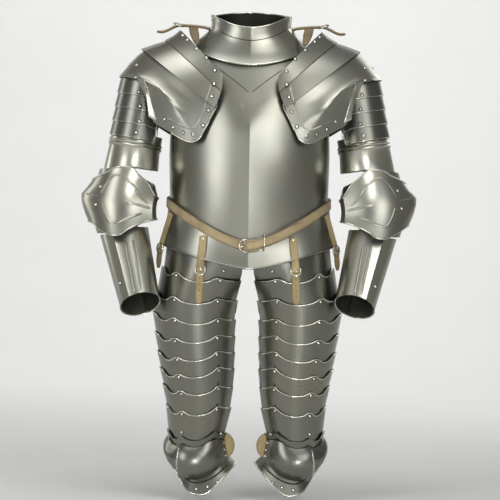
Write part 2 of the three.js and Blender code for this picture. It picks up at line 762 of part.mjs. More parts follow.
// Poleyn: domed cop with its ridge turned outward, and the flange that flares below and inside it
const ridgeTurn = degrees(-27);
const poleynInnerEnd = degrees(84);
function poleynPoint(u, v) {
  const turn = mix(poleynInnerEnd, legOuterEnd, u);
  const high = kneeTop(Math.min(turn, legInnerEnd));
  const low = -legStart - legLength - kneeLength * along(kneeLowShares, u);
  const edge = -legStart - legLength - kneeLength * along(flangeEdgeShares, u);
  const facing = Math.pow(Math.max(Math.cos(turn - ridgeTurn), 0), waistPower);
  const base = legPoint(turn, high, 0);
  const centre = new THREE.Vector3(legPoint(0, high, 0).x, -legBack, 0);
  const outward = base.clone().sub(centre).setZ(0);
  const radius = outward.length() + poleynLift;
  outward.normalize();
  const closed = kneeBulge * along(kneeCloseShares, u);
  if (v <= copShare) {
    const share = v / copShare;
    const bulge = kneeBulge * along(kneeRadiusShares, share) * mix(kneeSideShare, 1, facing);
    return centre.addScaledVector(outward, radius + bulge + closed * share * share).setZ(mix(high, low, share));
  }
  const share = (v - copShare) / (1 - copShare);
  const lowest = kneeBulge * along(kneeRadiusShares, 1) * mix(kneeSideShare, 1, facing) + closed;
  const reach = mix(lowest, flangeFlare * along(flangeReachShares, u), share);
  return centre.addScaledVector(outward, radius + reach).setZ(mix(low, edge, share));
}

function poleyn() {
  return sheet(poleynPoint, 13, 8, plateWall);
}

// Flat strap along a path with a round buckle lying on it
function strapSheet(path, across, width, steps) {
  return sheet((u, v) => path(u).addScaledVector(across(u), width * (v - 0.5)), steps, 1, leatherWall);
}

function buckleRing(centre, normal, radius) {
  const ring = new THREE.TorusGeometry(radius, buckleWire, 4, 11);
  const turned = new THREE.Quaternion().setFromUnitVectors(new THREE.Vector3(0, 0, 1), normal);
  ring.applyQuaternion(turned);
  ring.translate(centre.x, centre.y, centre.z);
  return ring;
}

// Inner tasset strap with its buckle, from the fauld's edge down the tasset
const innerStrapTurn = degrees(-30);
const innerStrapLegTurn = degrees(3);
const outerStrapTurn = degrees(-76);
const strapLift = plateWall + lapGap + seatGap + leatherWall;

const strapTopZ = -waistHeight - innerStrapHang;
const acrossFront = skirtPoint(innerStrapTurn - probeShare, strapTopZ, 0)
  .sub(skirtPoint(innerStrapTurn + probeShare, strapTopZ, 0)).setZ(0).normalize();

function innerStrapPoint(share) {
  const z = strapTopZ - innerStrapLength * share;
  const start = skirtPoint(innerStrapTurn, fauldLow(innerStrapTurn), strapLift + beadRise + fauldStrapRide);
  const leg = legPoint(innerStrapLegTurn, z, legNest + seatGap + strapRide + leatherWall + strapSwing * share);
  return new THREE.Vector3(start.x, start.y, z).lerp(leg, smooth((share - strapHangShare) / strapCatchShare));
}

function pointedWidth(width, share, length) {
  const left = Math.min((1 - share) * length / strapTip, 1);
  return width * mix(strapPointShare, 1, left);
}

function innerStrap() {
  const strap = sheet((u, v) => innerStrapPoint(v)
    .addScaledVector(acrossFront, pointedWidth(tassetStrapWidth, v, innerStrapLength) * (u - 0.5)), 1, 8, leatherWall);
  const facing = new THREE.Vector3().crossVectors(acrossFront, new THREE.Vector3(0, 0, 1)).normalize();
  const centre = innerStrapPoint(innerBuckleHang / innerStrapLength);
  const ring = buckleRing(centre, facing.y < 0 ? facing : facing.negate(), tassetBuckleRadius);
  const pinned = innerStrapPoint(strapPinHang / innerStrapLength);
  const seat = legPoint(innerStrapLegTurn, pinned.z, -legNest * topPinShare);
  return joined(strap, ring, strapPin(pinned.add(new THREE.Vector3(0, leatherWall / 2, 0)), seat, pinSlopeShare));
}

// Outer tasset strap on the side of the fauld, down to the outer edge of the tasset
function outerStrapPoint(share) {
  const z = -waistHeight - outerStrapHang - outerStrapLength * share;
  const ride = strapLift + mix(fauldStrapRide, beadRise + strapRide, smooth(share * 2));
  return skirtPoint(outerStrapTurn, z, ride).addScaledVector(new THREE.Vector3(-1, 0, 0), outerLean * smooth(share / outerBuckleShare));
}

function outerStrap() {
  const across = new THREE.Vector3(-Math.cos(outerStrapTurn), -Math.sin(outerStrapTurn), 0);
  const strap = sheet((u, v) => outerStrapPoint(v)
    .addScaledVector(across, pointedWidth(tassetStrapWidth, v, outerStrapLength) * (u - 0.5)), 1, 7, leatherWall);
  const facing = new THREE.Vector3(across.y, -across.x, 0);
  const centre = outerStrapPoint(outerBuckleShare);
  const ring = buckleRing(centre, facing.x < 0 ? facing : facing.negate(), tassetBuckleRadius);
  return joined(strap, ring);
}

// Strap over the shoulder from the gorget to the neck plate, with its buckle and hanging tab
function shoulderStrapPoint(share) {
  const start = gorgetPoint(-quarterTurn, gorgetPinShare).x + strapStart;
  const place = along(shoulderStrapAcrossShares, share);
  return new THREE.Vector3(mix(start, -pauldronReach * strapEndShare, place), 0,
    shoulderStrapRise * along(shoulderStrapUpShares, share));
}

// Rivet under a strap that ends a running gap above the sloping plate it fastens to
function strapPin(from, seat, slope) {
  const direction = from.clone().sub(seat).normalize();
  const low = seat.clone().addScaledVector(direction, seatGap + facetRoom + shankRadius * slope);
  const pin = new THREE.CylinderGeometry(shankRadius, shankRadius, from.distanceTo(low), 6);
  pin.applyQuaternion(new THREE.Quaternion().setFromUnitVectors(new THREE.Vector3(0, 1, 0), direction));
  const middle = from.clone().lerp(low, 0.5);
  pin.translate(middle.x, middle.y, middle.z);
  return pin;
}

function shoulderStrap() {
  const across = new THREE.Vector3(0, 1, 0);
  const strap = sheet((u, v) => shoulderStrapPoint(v)
    .addScaledVector(across, shoulderStrapWidth * (u - 0.5)), 1, 10, leatherWall);
  const ring = buckleRing(shoulderStrapPoint(shoulderBuckleShare), new THREE.Vector3(0, 0, 1), shoulderBuckleRadius);
  const start = shoulderStrapPoint(shoulderTabShare);
  const tab = sheet((u, v) => new THREE.Vector3(
    start.x + shoulderStrapWidth * mix(tabTopShare, tabTipShare, v) * (1 - 2 * u),
    -shoulderTabLength * v,
    start.z - leatherWall / 3 - shoulderTabDrop * Math.pow(v, armholePower),
  ), 1, 4, leatherWall);
  const half = new THREE.Vector3(0, 0, -leatherWall / 2);
  const onGorget = strapPin(shoulderStrapPoint(strapBackShare).add(half), gorgetPoint(-quarterTurn, gorgetPinShare), gorgetSlopeShare);
  const onPlate = strapPin(shoulderStrapPoint(strapPinShare).add(half), wingPoint(0, platePinShare), 0);
  return joined(strap, ring, tab, onGorget, onPlate);
}

const group = new THREE.Group();
group.name = "half_armour";

function add(name, geometry, finish) {
  const mesh = new THREE.Mesh(geometry, new THREE.MeshStandardMaterial(finish));
  mesh.name = name;
  group.add(mesh);
}

const steel = (name, geometry) => add(name, geometry, steelFinish);
const leather = (name, geometry) => add(name, geometry, leatherFinish);

steel("breastplate", breastplate());
steel("backplate", backplate());
steel("fauld", fauld());
leather("waist_belt", waistBelt());
steel("gorget_front", gorgetHalf(true));
steel("gorget_back", gorgetHalf(false));

function pair(kind, name, geometry) {
  kind(`right_${name}`, geometry);
  kind(`left_${name}`, mirrored(geometry));
}

pair(steel, "neck_plate", wingStrip(0, neckPlateShare + stripShare, 13, 2, neckNest, 0));
pair(steel, "shoulder_plate", wingStrip(neckPlateShare - stripShare, shoulderPlateShare + stripShare, 13, 2, wingNest, -wingNest));
const pauldronLow = neckNest - wingNest / 2;
pair(steel, "main_pauldron", wingStrip(
  shoulderPlateShare - stripShare, 1, 14, 6, pauldronLow, -wingNest, pauldronRowShares,
));
for (let number = 1; number <= 4; number += 1) pair(steel, `shoulder_lame_${number}`, shoulderLame(number));
pair(steel, "upper_cannon", upperCannon());
pair(steel, "elbow_upper_lame", elbowLame(true));
pair(steel, "couter", couter());
pair(steel, "elbow_lower_lame", elbowLame(false));
pair(steel, "vambrace_inner", vambrace(degrees(hingeTurn + seamOpening * 2 - 360), degrees(seamTurn - seamOpening), 9, 0));
pair(steel, "vambrace_outer", vambrace(degrees(seamTurn + seamOpening), degrees(hingeTurn), 7, doorStartShare));

pair(steel, "tasset_top", tassetTopPlate());
for (let number = 1; number <= 8; number += 1) pair(steel, `tasset_lame_${number}`, tassetLame(number));
pair(steel, "knee_lame", kneeLame());
pair(steel, "poleyn", poleyn());

pair(leather, "inner_tasset_strap", innerStrap());
pair(leather, "outer_tasset_strap", outerStrap());
pair(leather, "shoulder_strap", shoulderStrap());

export default group;
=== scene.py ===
import json
import math

import bmesh
import bpy
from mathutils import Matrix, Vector
from mathutils.bvhtree import BVHTree


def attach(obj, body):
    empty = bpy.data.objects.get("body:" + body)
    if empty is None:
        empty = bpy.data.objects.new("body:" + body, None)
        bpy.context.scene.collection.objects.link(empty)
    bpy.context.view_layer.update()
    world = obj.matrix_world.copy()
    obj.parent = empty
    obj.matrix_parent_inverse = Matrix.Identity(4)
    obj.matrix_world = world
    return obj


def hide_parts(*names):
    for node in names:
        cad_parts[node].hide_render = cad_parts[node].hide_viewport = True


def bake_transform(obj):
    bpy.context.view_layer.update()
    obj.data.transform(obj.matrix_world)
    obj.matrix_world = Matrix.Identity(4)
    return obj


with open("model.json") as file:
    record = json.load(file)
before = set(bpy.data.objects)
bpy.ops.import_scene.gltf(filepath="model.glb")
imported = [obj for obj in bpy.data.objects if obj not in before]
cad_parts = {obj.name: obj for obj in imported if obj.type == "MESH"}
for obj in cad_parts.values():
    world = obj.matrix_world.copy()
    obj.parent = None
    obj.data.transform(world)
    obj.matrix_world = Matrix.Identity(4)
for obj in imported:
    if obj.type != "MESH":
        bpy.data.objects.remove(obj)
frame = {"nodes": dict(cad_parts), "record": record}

# Half armour: rivets, roped edges, embossed lines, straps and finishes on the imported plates.
# Lengths written with MM are millimetres of the armour, the scene itself is in metres.
# VIEW is the direction in which somebody in front of the armour looks.
MM = 0.001
VIEW = Vector((0, 1, 0))
UP = Vector((0, 0, 1))
NEAR_NOTHING = 1e-6
scene = bpy.context.scene

# Camera straight in front, as in the photo
EYE_DISTANCE = 5.2
FRAME_CENTRE = Vector((0.004, 0.0, -0.440))
VIEW_WIDTH = 1.100
VIEW_LIMIT = 60.0
SENSOR_WIDTH = 36.0
CAMERA_ROLL = math.radians(-0.8)
camera_data = bpy.data.cameras.new("camera")
camera_data.sensor_width = SENSOR_WIDTH
camera_data.lens = camera_data.sensor_width * EYE_DISTANCE / VIEW_WIDTH
camera_data.clip_end = VIEW_LIMIT
camera = bpy.data.objects.new("camera", camera_data)
camera.location = FRAME_CENTRE - VIEW * EYE_DISTANCE
camera.rotation_euler = (math.radians(90), CAMERA_ROLL, 0)
scene.collection.objects.link(camera)
scene.camera = camera

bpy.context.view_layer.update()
nodes = frame["nodes"]
bodies = frame["record"]["behaviour"]["bodies"]
body_of_node = {member: body for body, members in bodies.items() for member in members}


# Reading the plates: ray hits on their faces and the loops of their rims
SEARCH_RADII = (0, 2, 4, 7, 10)
SEARCH_TURNS = 8
WELD_STEPS = 20000
RIM_ANGLE = math.radians(50)
SHORTEST_EDGE = 2.0 * MM
trees = {}


def tree_of(name):
    if name not in trees:
        mesh = nodes[name].data
        points = [vertex.co.copy() for vertex in mesh.vertices]
        faces = [tuple(face.vertices) for face in mesh.polygons]
        trees[name] = BVHTree.FromPolygons(points, faces)
    return trees[name]


def hit_on(names, origin, direction):
    """Nearest hit of a ray on any of the plates, as (place, outward normal, plate name)."""
    hits = [tree_of(name).ray_cast(origin, direction) + (name,) for name in names]
    hits = [hit for hit in hits if hit[0] is not None]
    if not hits:
        return None
    place, normal, _face, _distance, name = min(hits, key=lambda hit: hit[3])
    return place, normal if normal.dot(direction) < 0 else -normal, name


def circle(sides):
    """Points round a unit circle."""
    turns = [math.tau * corner / sides for corner in range(sides)]
    return [(math.cos(turn), math.sin(turn)) for turn in turns]


def front_hit(names, x, z, back=False):
    """Hit on the front or back at x and z in millimetres, or else near by."""
    direction = -VIEW if back else VIEW
    for radius in SEARCH_RADII:
        for across, up in circle(SEARCH_TURNS if radius else 1):
            place = Vector(((x + radius * across) * MM, 0, (z + radius * up) * MM))
            found = hit_on(names, place - direction, direction)
            if found:
                return found
    return None


def welded(name):
    """Points and faces of a plate with its doubled vertices joined."""
    mesh = nodes[name].data
    found = {}
    points = []
    remap = []
    for vertex in mesh.vertices:
        key = tuple(round(part * WELD_STEPS) for part in vertex.co)
        remap.append(found.setdefault(key, len(points)))
        if remap[-1] == len(points):
            points.append(vertex.co.copy())
    return points, [[remap[index] for index in face.vertices] for face in mesh.polygons]


def loop_length(loop):
    return sum((loop[index] - loop[index - 1]).length for index in range(len(loop)))


def rim_loops(name):
    """Closed loops of sharp edges of a plate, longest first, each a list of points."""
    points, faces = welded(name)
    bm = bmesh.new()
    made = [bm.verts.new(point) for point in points]
    for face in faces:
        if len(set(face)) > 2:
            try:
                bm.faces.new([made[index] for index in face])
            except ValueError:
                continue
    bm.normal_update()
    links = {}
    for edge in bm.edges:
        if len(edge.link_faces) != 2 or edge.calc_length() < SHORTEST_EDGE:
            continue
        if edge.calc_face_angle() > RIM_ANGLE:
            a, b = edge.verts
            links.setdefault(a, []).append(b)
            links.setdefault(b, []).append(a)
    seen = set()
    loops = []
    for start in sorted(links, key=lambda vert: tuple(vert.co)):
        if start in seen:
            continue
        path = []
        step = start
        while step is not None:
            path.append(step)
            seen.add(step)
            step = next((other for other in links[step] if other not in seen), None)
        loops.append([vert.co.copy() for vert in path])
    bm.free()
    loops.sort(key=loop_length, reverse=True)
    return loops


def runs_of(loop, test):
    """All unbroken runs of a closed loop whose points pass the test."""
    count = len(loop)
    passed = [test(point) for point in loop]
    runs = []
    for first in range(count):
        if passed[first] and not passed[first - 1]:
            size = next(step for step in range(count) if not passed[(first + step) % count])
            runs.append([loop[(first + step) % count] for step in range(size)])
    return runs


def run_of(loop, test):
    """Longest of those runs, or the whole loop where every point passes."""
    runs = runs_of(loop, test)
    if runs:
        return max(runs, key=len)
    return loop + [loop[0]] if all(test(point) for point in loop) else []


# Paths
CURVE_PARTS = 8
SOFTENING_ROUNDS = 3


def is_closed(points):
    return (points[0] - points[-1]).length < NEAR_NOTHING


def smooth_path(points, step):
    """Even points along a smooth curve through the given ones."""
    if len(points) < 3:
        return points
    closed = is_closed(points)
    before = points[-2] if closed else points[0]
    after = points[1] if closed else points[-1]
    padded = [before] + points + [after]
    fine = []
    for a, b, c, d in zip(padded, padded[1:], padded[2:], padded[3:]):
        for part in range(CURVE_PARTS):
            t = part / CURVE_PARTS
            fine.append(0.5 * ((2 * b) + (c - a) * t + (2 * a - 5 * b + 4 * c - d) * t * t
                               + (3 * b - a - 3 * c + d) * t * t * t))
    fine.append(points[-1])
    total = sum((fine[index + 1] - fine[index]).length for index in range(len(fine) - 1))
    count = max(2, int(total / step))
    spaced = [fine[0]]
    travelled = 0.0
    target = total / count
    for index in range(len(fine) - 1):
        piece = (fine[index + 1] - fine[index]).length
        while travelled + piece >= target - 1e-9 and len(spaced) < count:
            share = (target - travelled) / piece if piece else 0
            spaced.append(fine[index].lerp(fine[index + 1], min(max(share, 0), 1)))
            target += total / count
        travelled += piece
    spaced.append(fine[-1])
    return spaced


def curve(places, step):
    """Smooth path through places in millimetres."""
    return smooth_path([Vector(place) * MM for place in places], step * MM)


def softened(path, closed=False):
    """Path with its points moved towards their neighbours, the ends of an open one stay."""
    count = len(path)
    moved = [path[i - 1] * 0.25 + path[i] * 0.5 + path[(i + 1) % count] * 0.25 for i in range(count)]
    return moved if closed else [path[0]] + moved[1:-1] + [path[-1]]


def tangent_at(path, index):
    after = path[min(index + 1, len(path) - 1)]
    return after - path[max(index - 1, 0)]


def nearest_index(path, distance):
    return min(range(len(path)), key=lambda index: distance(path[index]))


# Making meshes
ROPE_SIDES = 10
ROPE_STEP = 1.1
ROPE_PITCH = 11.0
ROPE_WAVE = 0.13
RELIEF_SIDES = 8
RELIEF_STEP = 3
RELIEF_SINK = 0.3
RELIEF_SPREAD = 1.5
RELIEF_FADE = 6
RELIEF_END = 0.15
DOME_FOOT = (1.02, -0.25)


def mesh_object(name, points, faces, material, body=None, shares=None):
    mesh = bpy.data.meshes.new(name)
    mesh.from_pydata([tuple(point) for point in points], [], faces)
    mesh.validate()
    if shares is not None:
        layer = mesh.attributes.new("across", "FLOAT", "POINT")
        layer.data.foreach_set("value", shares)
    mesh.polygons.foreach_set("use_smooth", [True] * len(mesh.polygons))
    mesh.update()
    made = bpy.data.objects.new(name, mesh)
    scene.collection.objects.link(made)
    mesh.materials.append(material)
    if body:
        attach(made, body)
    return made


def oval(sides, across, up):
    """Section of a round wire, its half width and half height in millimetres."""
    return [(x * across * MM, y * up * MM) for x, y in circle(sides)]


def add_sweep(points, faces, path, section, closed=False, guide=None):
    """Adds a tube along a path: section(step, share) gives its (side, lift) pairs."""
    count = len(path)
    first = len(points)
    lift = guide[0] if guide else UP
    size = 0
    for step, place in enumerate(path):
        if closed:
            tangent = path[(step + 1) % count] - path[step - 1]
        else:
            tangent = tangent_at(path, step)
        tangent.normalize()
        if guide:
            lift = guide[step]
        side = tangent.cross(lift)
        if side.length < NEAR_NOTHING:
            side = tangent.orthogonal()
        side.normalize()
        lift = side.cross(tangent).normalized()
        ring = section(step, step / max(count - 1, 1))
        size = len(ring)
        for across, up in ring:
            points.append(place + side * across + lift * up)
    rings = count if closed else count - 1
    for step in range(rings):
        here = first + step * size
        there = first + ((step + 1) % count) * size
        for index in range(size):
            after = (index + 1) % size
            faces.append((here + index, here + after, there + after, there + index))
    if not closed:
        faces.append(tuple(first + index for index in reversed(range(size))))
        faces.append(tuple(first + (count - 1) * size + index for index in range(size)))


def rope(name, path, radius, body, material, strands=3):
    """A rolled edge, twisted where it has strands, radius in millimetres."""
    if len(path) < 2:
        return
    spaced = smooth_path(path, ROPE_STEP * MM * (1))
    closed = is_closed(spaced)
    if closed:
        spaced = spaced[:-1]
    points, faces = [], []
    spacing = (spaced[1] - spaced[0]).length / MM

    def section(index, _share):
        ring = []
        for corner, (x, y) in enumerate(circle(ROPE_SIDES)):
            turn = math.tau * (corner / ROPE_SIDES + index * spacing / ROPE_PITCH)
            size = radius * MM * (1 + ROPE_WAVE * math.cos(strands * turn) if strands else 1)
            ring.append((x * size, y * size))
        return ring

    add_sweep(points, faces, spaced, section, closed)
    mesh_object(name, points, faces, material, body)


def relief(name, names, corners, radius, material):
    """A low ridge across the front of plates, through corners in millimetres."""
    flat = smooth_path([Vector((x * MM, 0, z * MM)) for x, z in corners], RELIEF_STEP * MM)
    path, guide = [], []
    body = None
    for point in flat:
        found = hit_on(names, point - VIEW, VIEW)
        if found is None:
            continue
        path.append(found[0] - found[1] * radius * RELIEF_SINK * MM)
        guide.append(found[1])
        body = body or body_of_node[found[2]]
    if len(path) < 3:
        return
    for _round in range(SOFTENING_ROUNDS):
        path = softened(path)
        guide = [normal.normalized() for normal in softened(guide)]
    points, faces = [], []

    def section(_index, share):
        fade = min(1.0, RELIEF_FADE * share + RELIEF_END, RELIEF_FADE * (1 - share) + RELIEF_END)
        return oval(RELIEF_SIDES, radius * RELIEF_SPREAD, radius * fade)

    add_sweep(points, faces, path, section, guide=guide)
    mesh_object(name, points, faces, material, body)


def dome(points, faces, centre, normal, radius, rise, rings=4, sides=14):
    """Adds a low rivet head to points and faces."""
    side = normal.orthogonal().normalized()
    other = normal.cross(side)
    first = len(points)
    tilts = [math.pi / 2 * ring / rings for ring in range(rings)]
    levels = [DOME_FOOT] + [(math.cos(tilt), math.sin(tilt)) for tilt in tilts]
    for out, up in levels:
        for x, y in circle(sides):
            points.append(centre + (side * x + other * y) * radius * out + normal * rise * up)
    points.append(centre + normal * rise)
    for level in range(len(levels) - 1):
        for corner in range(sides):
            after = (corner + 1) % sides
            here = first + level * sides
            faces.append((here + corner, here + after, here + sides + after, here + sides + corner))
    top = first + (len(levels) - 1) * sides
    for corner in range(sides):
        faces.append((top + corner, top + (corner + 1) % sides, first + len(levels) * sides))


# Materials, all procedural
WARM_TINT = (1.0, 0.985, 0.82)
COOL_TINT = (0.97, 0.985, 0.89)
COOL_SHARE = 0.88
PIT_COLOUR = (0.17, 0.15, 0.11, 1.0)
# Near black of the painted shade and grime in the laps between plates
LAP_GRIME_AND_SHADE_COLOUR = (0.06, 0.054, 0.045, 1.0)
# Black of the painted shade in hollows and on inside faces
HOLLOW_SHADE_COLOUR = (0.012, 0.012, 0.011, 1.0)
LAP_GRIME_AND_SHADE_REACH = 6
HOLLOW_SHADE_REACH = 120
AO_SAMPLES = 12
NOISE_LOW, NOISE_HIGH = 0.3, 0.7
ROUGHER_IN_LAPS_AND_HOLLOWS = 0.25
SCUFF_LIGHT = 1.35
CREASE_PLACE = 0.74
CREASE_WIDTH = 0.03
LINE_PLACE = 0.70
LINE_WIDTH = 0.07


def add_node(tree, kind, inputs=(), **settings):
    """New node with its settings, each input linked to a socket or set to a value."""
    node = tree.nodes.new(kind)
    for name, value in settings.items():
        setattr(node, name, value)
    for key, value in dict(inputs).items():
        if isinstance(value, bpy.types.NodeSocket):
            tree.links.new(value, node.inputs[key])
        else:
            node.inputs[key].default_value = value
    return node


def node_material(name):
    material = bpy.data.materials.new(name)
    material.use_nodes = True
    tree = material.node_tree
    place = add_node(tree, "ShaderNodeTexCoord").outputs["Object"]
    return material, tree, tree.nodes["Principled BSDF"], place


def noise(tree, place, scale, detail, stretch=(1, 1, 1), offset=0.0):
    moved = {"Scale": stretch, "Location": (offset, offset, offset), "Vector": place}
    vector = add_node(tree, "ShaderNodeMapping", moved).outputs["Vector"]
    grain = {"Scale": scale, "Detail": detail, "Vector": vector}
    return add_node(tree, "ShaderNodeTexNoise", grain).outputs["Fac"]


def ramp(tree, value, low, high, from_low=0.0, from_high=1.0):
    ends = {"Value": value, "From Min": from_low, "From Max": from_high, "To Min": low, "To Max": high}
    return add_node(tree, "ShaderNodeMapRange", ends).outputs["Result"]


def noise_ramp(tree, value, low, high):
    return ramp(tree, value, low, high, NOISE_LOW, NOISE_HIGH)


def combine(tree, first, second, operation):
    return add_node(tree, "ShaderNodeMath", {0: first, 1: second}, operation=operation).outputs["Value"]


def mix_colours(tree, share, first, second):
    return add_node(tree, "ShaderNodeMix", {0: share, 6: first, 7: second}, data_type="RGBA").outputs[2]


def bump(tree, shader, height, distance, strength):
    rise = {"Distance": distance * MM, "Strength": strength, "Height": height}
    tree.links.new(add_node(tree, "ShaderNodeBump", rise).outputs["Normal"], shader.inputs["Normal"])


def occlusion(tree, distance):
    reach = {"Distance": distance * MM}
    return add_node(tree, "ShaderNodeAmbientOcclusion", reach, samples=AO_SAMPLES).outputs["AO"]


def attribute(tree, name):
    return add_node(tree, "ShaderNodeAttribute", attribute_name=name).outputs["Fac"]


def steel(name, tone, roughness, lap_grime_and_shade_strength=0.45, seed=0.0, shaded_inside_faces=False):
    """Satin-polished plate steel: olive grey, cloudy polish; painted shade and grime darken its laps,
    painted shade its hollows and, where asked, its inside faces.
    """
    material, tree, shader, place = node_material(name)
    cloud = noise(tree, place, 7.0, 2.0, offset=seed)
    grain = noise(tree, place, 110.0, 3.0, stretch=(1.0, 1.0, 4.0), offset=seed)
    pits = noise(tree, place, 190.0, 4.0, offset=seed + 3.0)
    warm = tuple(part * tone for part in WARM_TINT) + (1.0,)
    cool = tuple(part * tone * COOL_SHARE for part in COOL_TINT) + (1.0,)
    clean = mix_colours(tree, noise_ramp(tree, cloud, 0.0, 1.0), warm, cool)
    spots = ramp(tree, pits, 0.0, 0.22, 0.70, 0.85)
    speckled = mix_colours(tree, spots, clean, PIT_COLOUR)
    # Painted shade and grime: darker in laps and crevices, from short-range ambient occlusion
    lap_grime_and_shade = ramp(tree, occlusion(tree, LAP_GRIME_AND_SHADE_REACH), lap_grime_and_shade_strength, 0.0, 0.15, 0.75)
    lap_darkened = mix_colours(tree, lap_grime_and_shade, speckled, LAP_GRIME_AND_SHADE_COLOUR)
    # Painted shade: near black deep in hollows and between parts, from wide ambient occlusion, and on the
    # marked inside faces where asked, which also stand for a blackened inside
    hollow_shade = ramp(tree, occlusion(tree, HOLLOW_SHADE_REACH), 0.96, 0.0, 0.12, 0.42)
    if shaded_inside_faces:
        inside = combine(tree, attribute(tree, "inside"), 0.95, "MULTIPLY")
        hollow_shade = combine(tree, hollow_shade, inside, "MAXIMUM")
    shaded = mix_colours(tree, hollow_shade, lap_darkened, HOLLOW_SHADE_COLOUR)
    tree.links.new(shaded, shader.inputs["Base Color"])
    shader.inputs["Metallic"].default_value = 1.0
    rough = combine(tree, noise_ramp(tree, cloud, -0.035, 0.045), roughness, "ADD")
    rough = combine(tree, noise_ramp(tree, grain, -0.008, 0.012), rough, "ADD")
    for share in (lap_grime_and_shade, hollow_shade):
        rough = combine(tree, rough, combine(tree, share, ROUGHER_IN_LAPS_AND_HOLLOWS, "MULTIPLY"), "ADD")
    tree.links.new(rough, shader.inputs["Roughness"])
    bump(tree, shader, grain, 0.03, 0.06)
    return material


def hide(name, light, dark, edge, seed=0.0):
    """Strap leather: grain, scuffs, darker cut edges and a creased line beside each edge."""
    material, tree, shader, place = node_material(name)
    worn = tuple(min(1, part * SCUFF_LIGHT) for part in light)
    light, dark, edge, worn = [colour + (1.0,) for colour in (light, dark, edge, worn)]
    cloud = noise(tree, place, 26.0, 4.0, offset=seed)
    grain = noise(tree, place, 900.0, 3.0, offset=seed)
    scuff = noise(tree, place, 120.0, 6.0, stretch=(1.0, 1.0, 0.3), offset=seed + 5.0)
    body = mix_colours(tree, noise_ramp(tree, cloud, 0.0, 1.0), light, dark)
    scuffed = mix_colours(tree, ramp(tree, scuff, 0.0, 0.55, 0.55, 0.8), body, worn)
    across = attribute(tree, "across")

    def hollow_at(middle, width):
        off = combine(tree, combine(tree, across, middle, "SUBTRACT"), width, "DIVIDE")
        return combine(tree, combine(tree, off, off, "MULTIPLY"), 1.0, "MINIMUM")

    line_share = combine(tree, 1.0, hollow_at(LINE_PLACE, LINE_WIDTH), "SUBTRACT")
    creased = mix_colours(tree, combine(tree, line_share, 0.45, "MULTIPLY"), scuffed, edge)
    edged = mix_colours(tree, ramp(tree, across, 0.0, 0.85, 0.84, 0.99), creased, edge)
    tree.links.new(edged, shader.inputs["Base Color"])
    tree.links.new(ramp(tree, grain, 0.48, 0.72), shader.inputs["Roughness"])
    shader.inputs["Sheen Weight"].default_value = 0.12
    crease = combine(tree, hollow_at(CREASE_PLACE, CREASE_WIDTH), 0.6, "MULTIPLY")
    height = combine(tree, combine(tree, grain, 0.4, "MULTIPLY"), crease, "ADD")
    bump(tree, shader, height, 0.35, 0.6)
    return material


def mottled(name, scale, detail, first, second, roughness, metallic=0.0, specular=0.5):
    """Plain two-tone material: dark for the painted shade of grooves and holes, pale for the floor."""
    material, tree, shader, place = node_material(name)
    colour = mix_colours(tree, noise(tree, place, scale, detail), first + (1.0,), second + (1.0,))
    tree.links.new(colour, shader.inputs["Base Color"])
    shader.inputs["Roughness"].default_value = roughness
    shader.inputs["Metallic"].default_value = metallic
    shader.inputs["Specular IOR Level"].default_value = specular
    return material


# The tassets', knee plates' and shoulder lames' steel is a darker copy of the plate steel, painted shade
# for their lower light; the cannons' and vambraces' steel is a lighter copy, painted light; the
# backplate's steel is a darker copy, painted shade
plate_steel = steel("plate_steel", tone=0.45, roughness=0.34)
plate_steel_soft = steel("plate_steel_soft", tone=0.27, roughness=0.30, seed=2.7)
arm_steel = steel("arm_steel", tone=0.60, roughness=0.31, seed=8.3)
backplate_steel_shaded = steel("plate_steel_dim", tone=0.42, roughness=0.36, seed=5.1)
gorget_steel = steel("gorget_steel", tone=0.46, roughness=0.32, seed=3.4, shaded_inside_faces=True)
# Lighter copy of the steel: painted highlight on rolled edges, bevels, ridges and the flare
edge_steel = steel("edge_steel", tone=0.74, roughness=0.24, lap_grime_and_shade_strength=0.5, seed=1.3)
rope_steel = steel("rope_steel", tone=0.38, roughness=0.30, lap_grime_and_shade_strength=0.8, seed=6.1)
rivet_steel = steel("rivet_steel", tone=0.86, roughness=0.16, lap_grime_and_shade_strength=0.2, seed=4.2)
buckle_steel = steel("buckle_steel", tone=0.74, roughness=0.24, lap_grime_and_shade_strength=0.3, seed=7.7)
tan_leather = hide("tan_leather", (0.43, 0.335, 0.165), (0.30, 0.225, 0.105), (0.11, 0.072, 0.036))
belt_leather = hide("belt_leather", (0.43, 0.34, 0.185), (0.29, 0.22, 0.115), (0.10, 0.068, 0.036), 3.0)
dark_leather = hide("dark_leather", (0.24, 0.175, 0.085), (0.15, 0.105, 0.05), (0.06, 0.04, 0.02), 6.0)
# Near black: painted shade in creases, seams and slots, painted shade and grime round rivet heads
painted_shade_steel = mottled("groove_dark", 220.0, 3.0, (0.02, 0.02, 0.017), (0.07, 0.065, 0.055), 0.6,
                       metallic=0.8)
# Dark drops of painted shade for the punched strap holes
hole_dark = mottled("hole_dark", 300.0, 2.0, (0.02, 0.013, 0.008), (0.06, 0.035, 0.02), 0.9)

# Smooth shading for the plates, sharp only at their real edges and at the ridge in the middle
SMOOTH_BELOW = math.radians(38)
FLAT_BELOW = math.radians(5)
RIDGE_HALF = 0.3 * MM
WELD_DISTANCE = 0.02 * MM
HEIGHT_SHARE = 0.3


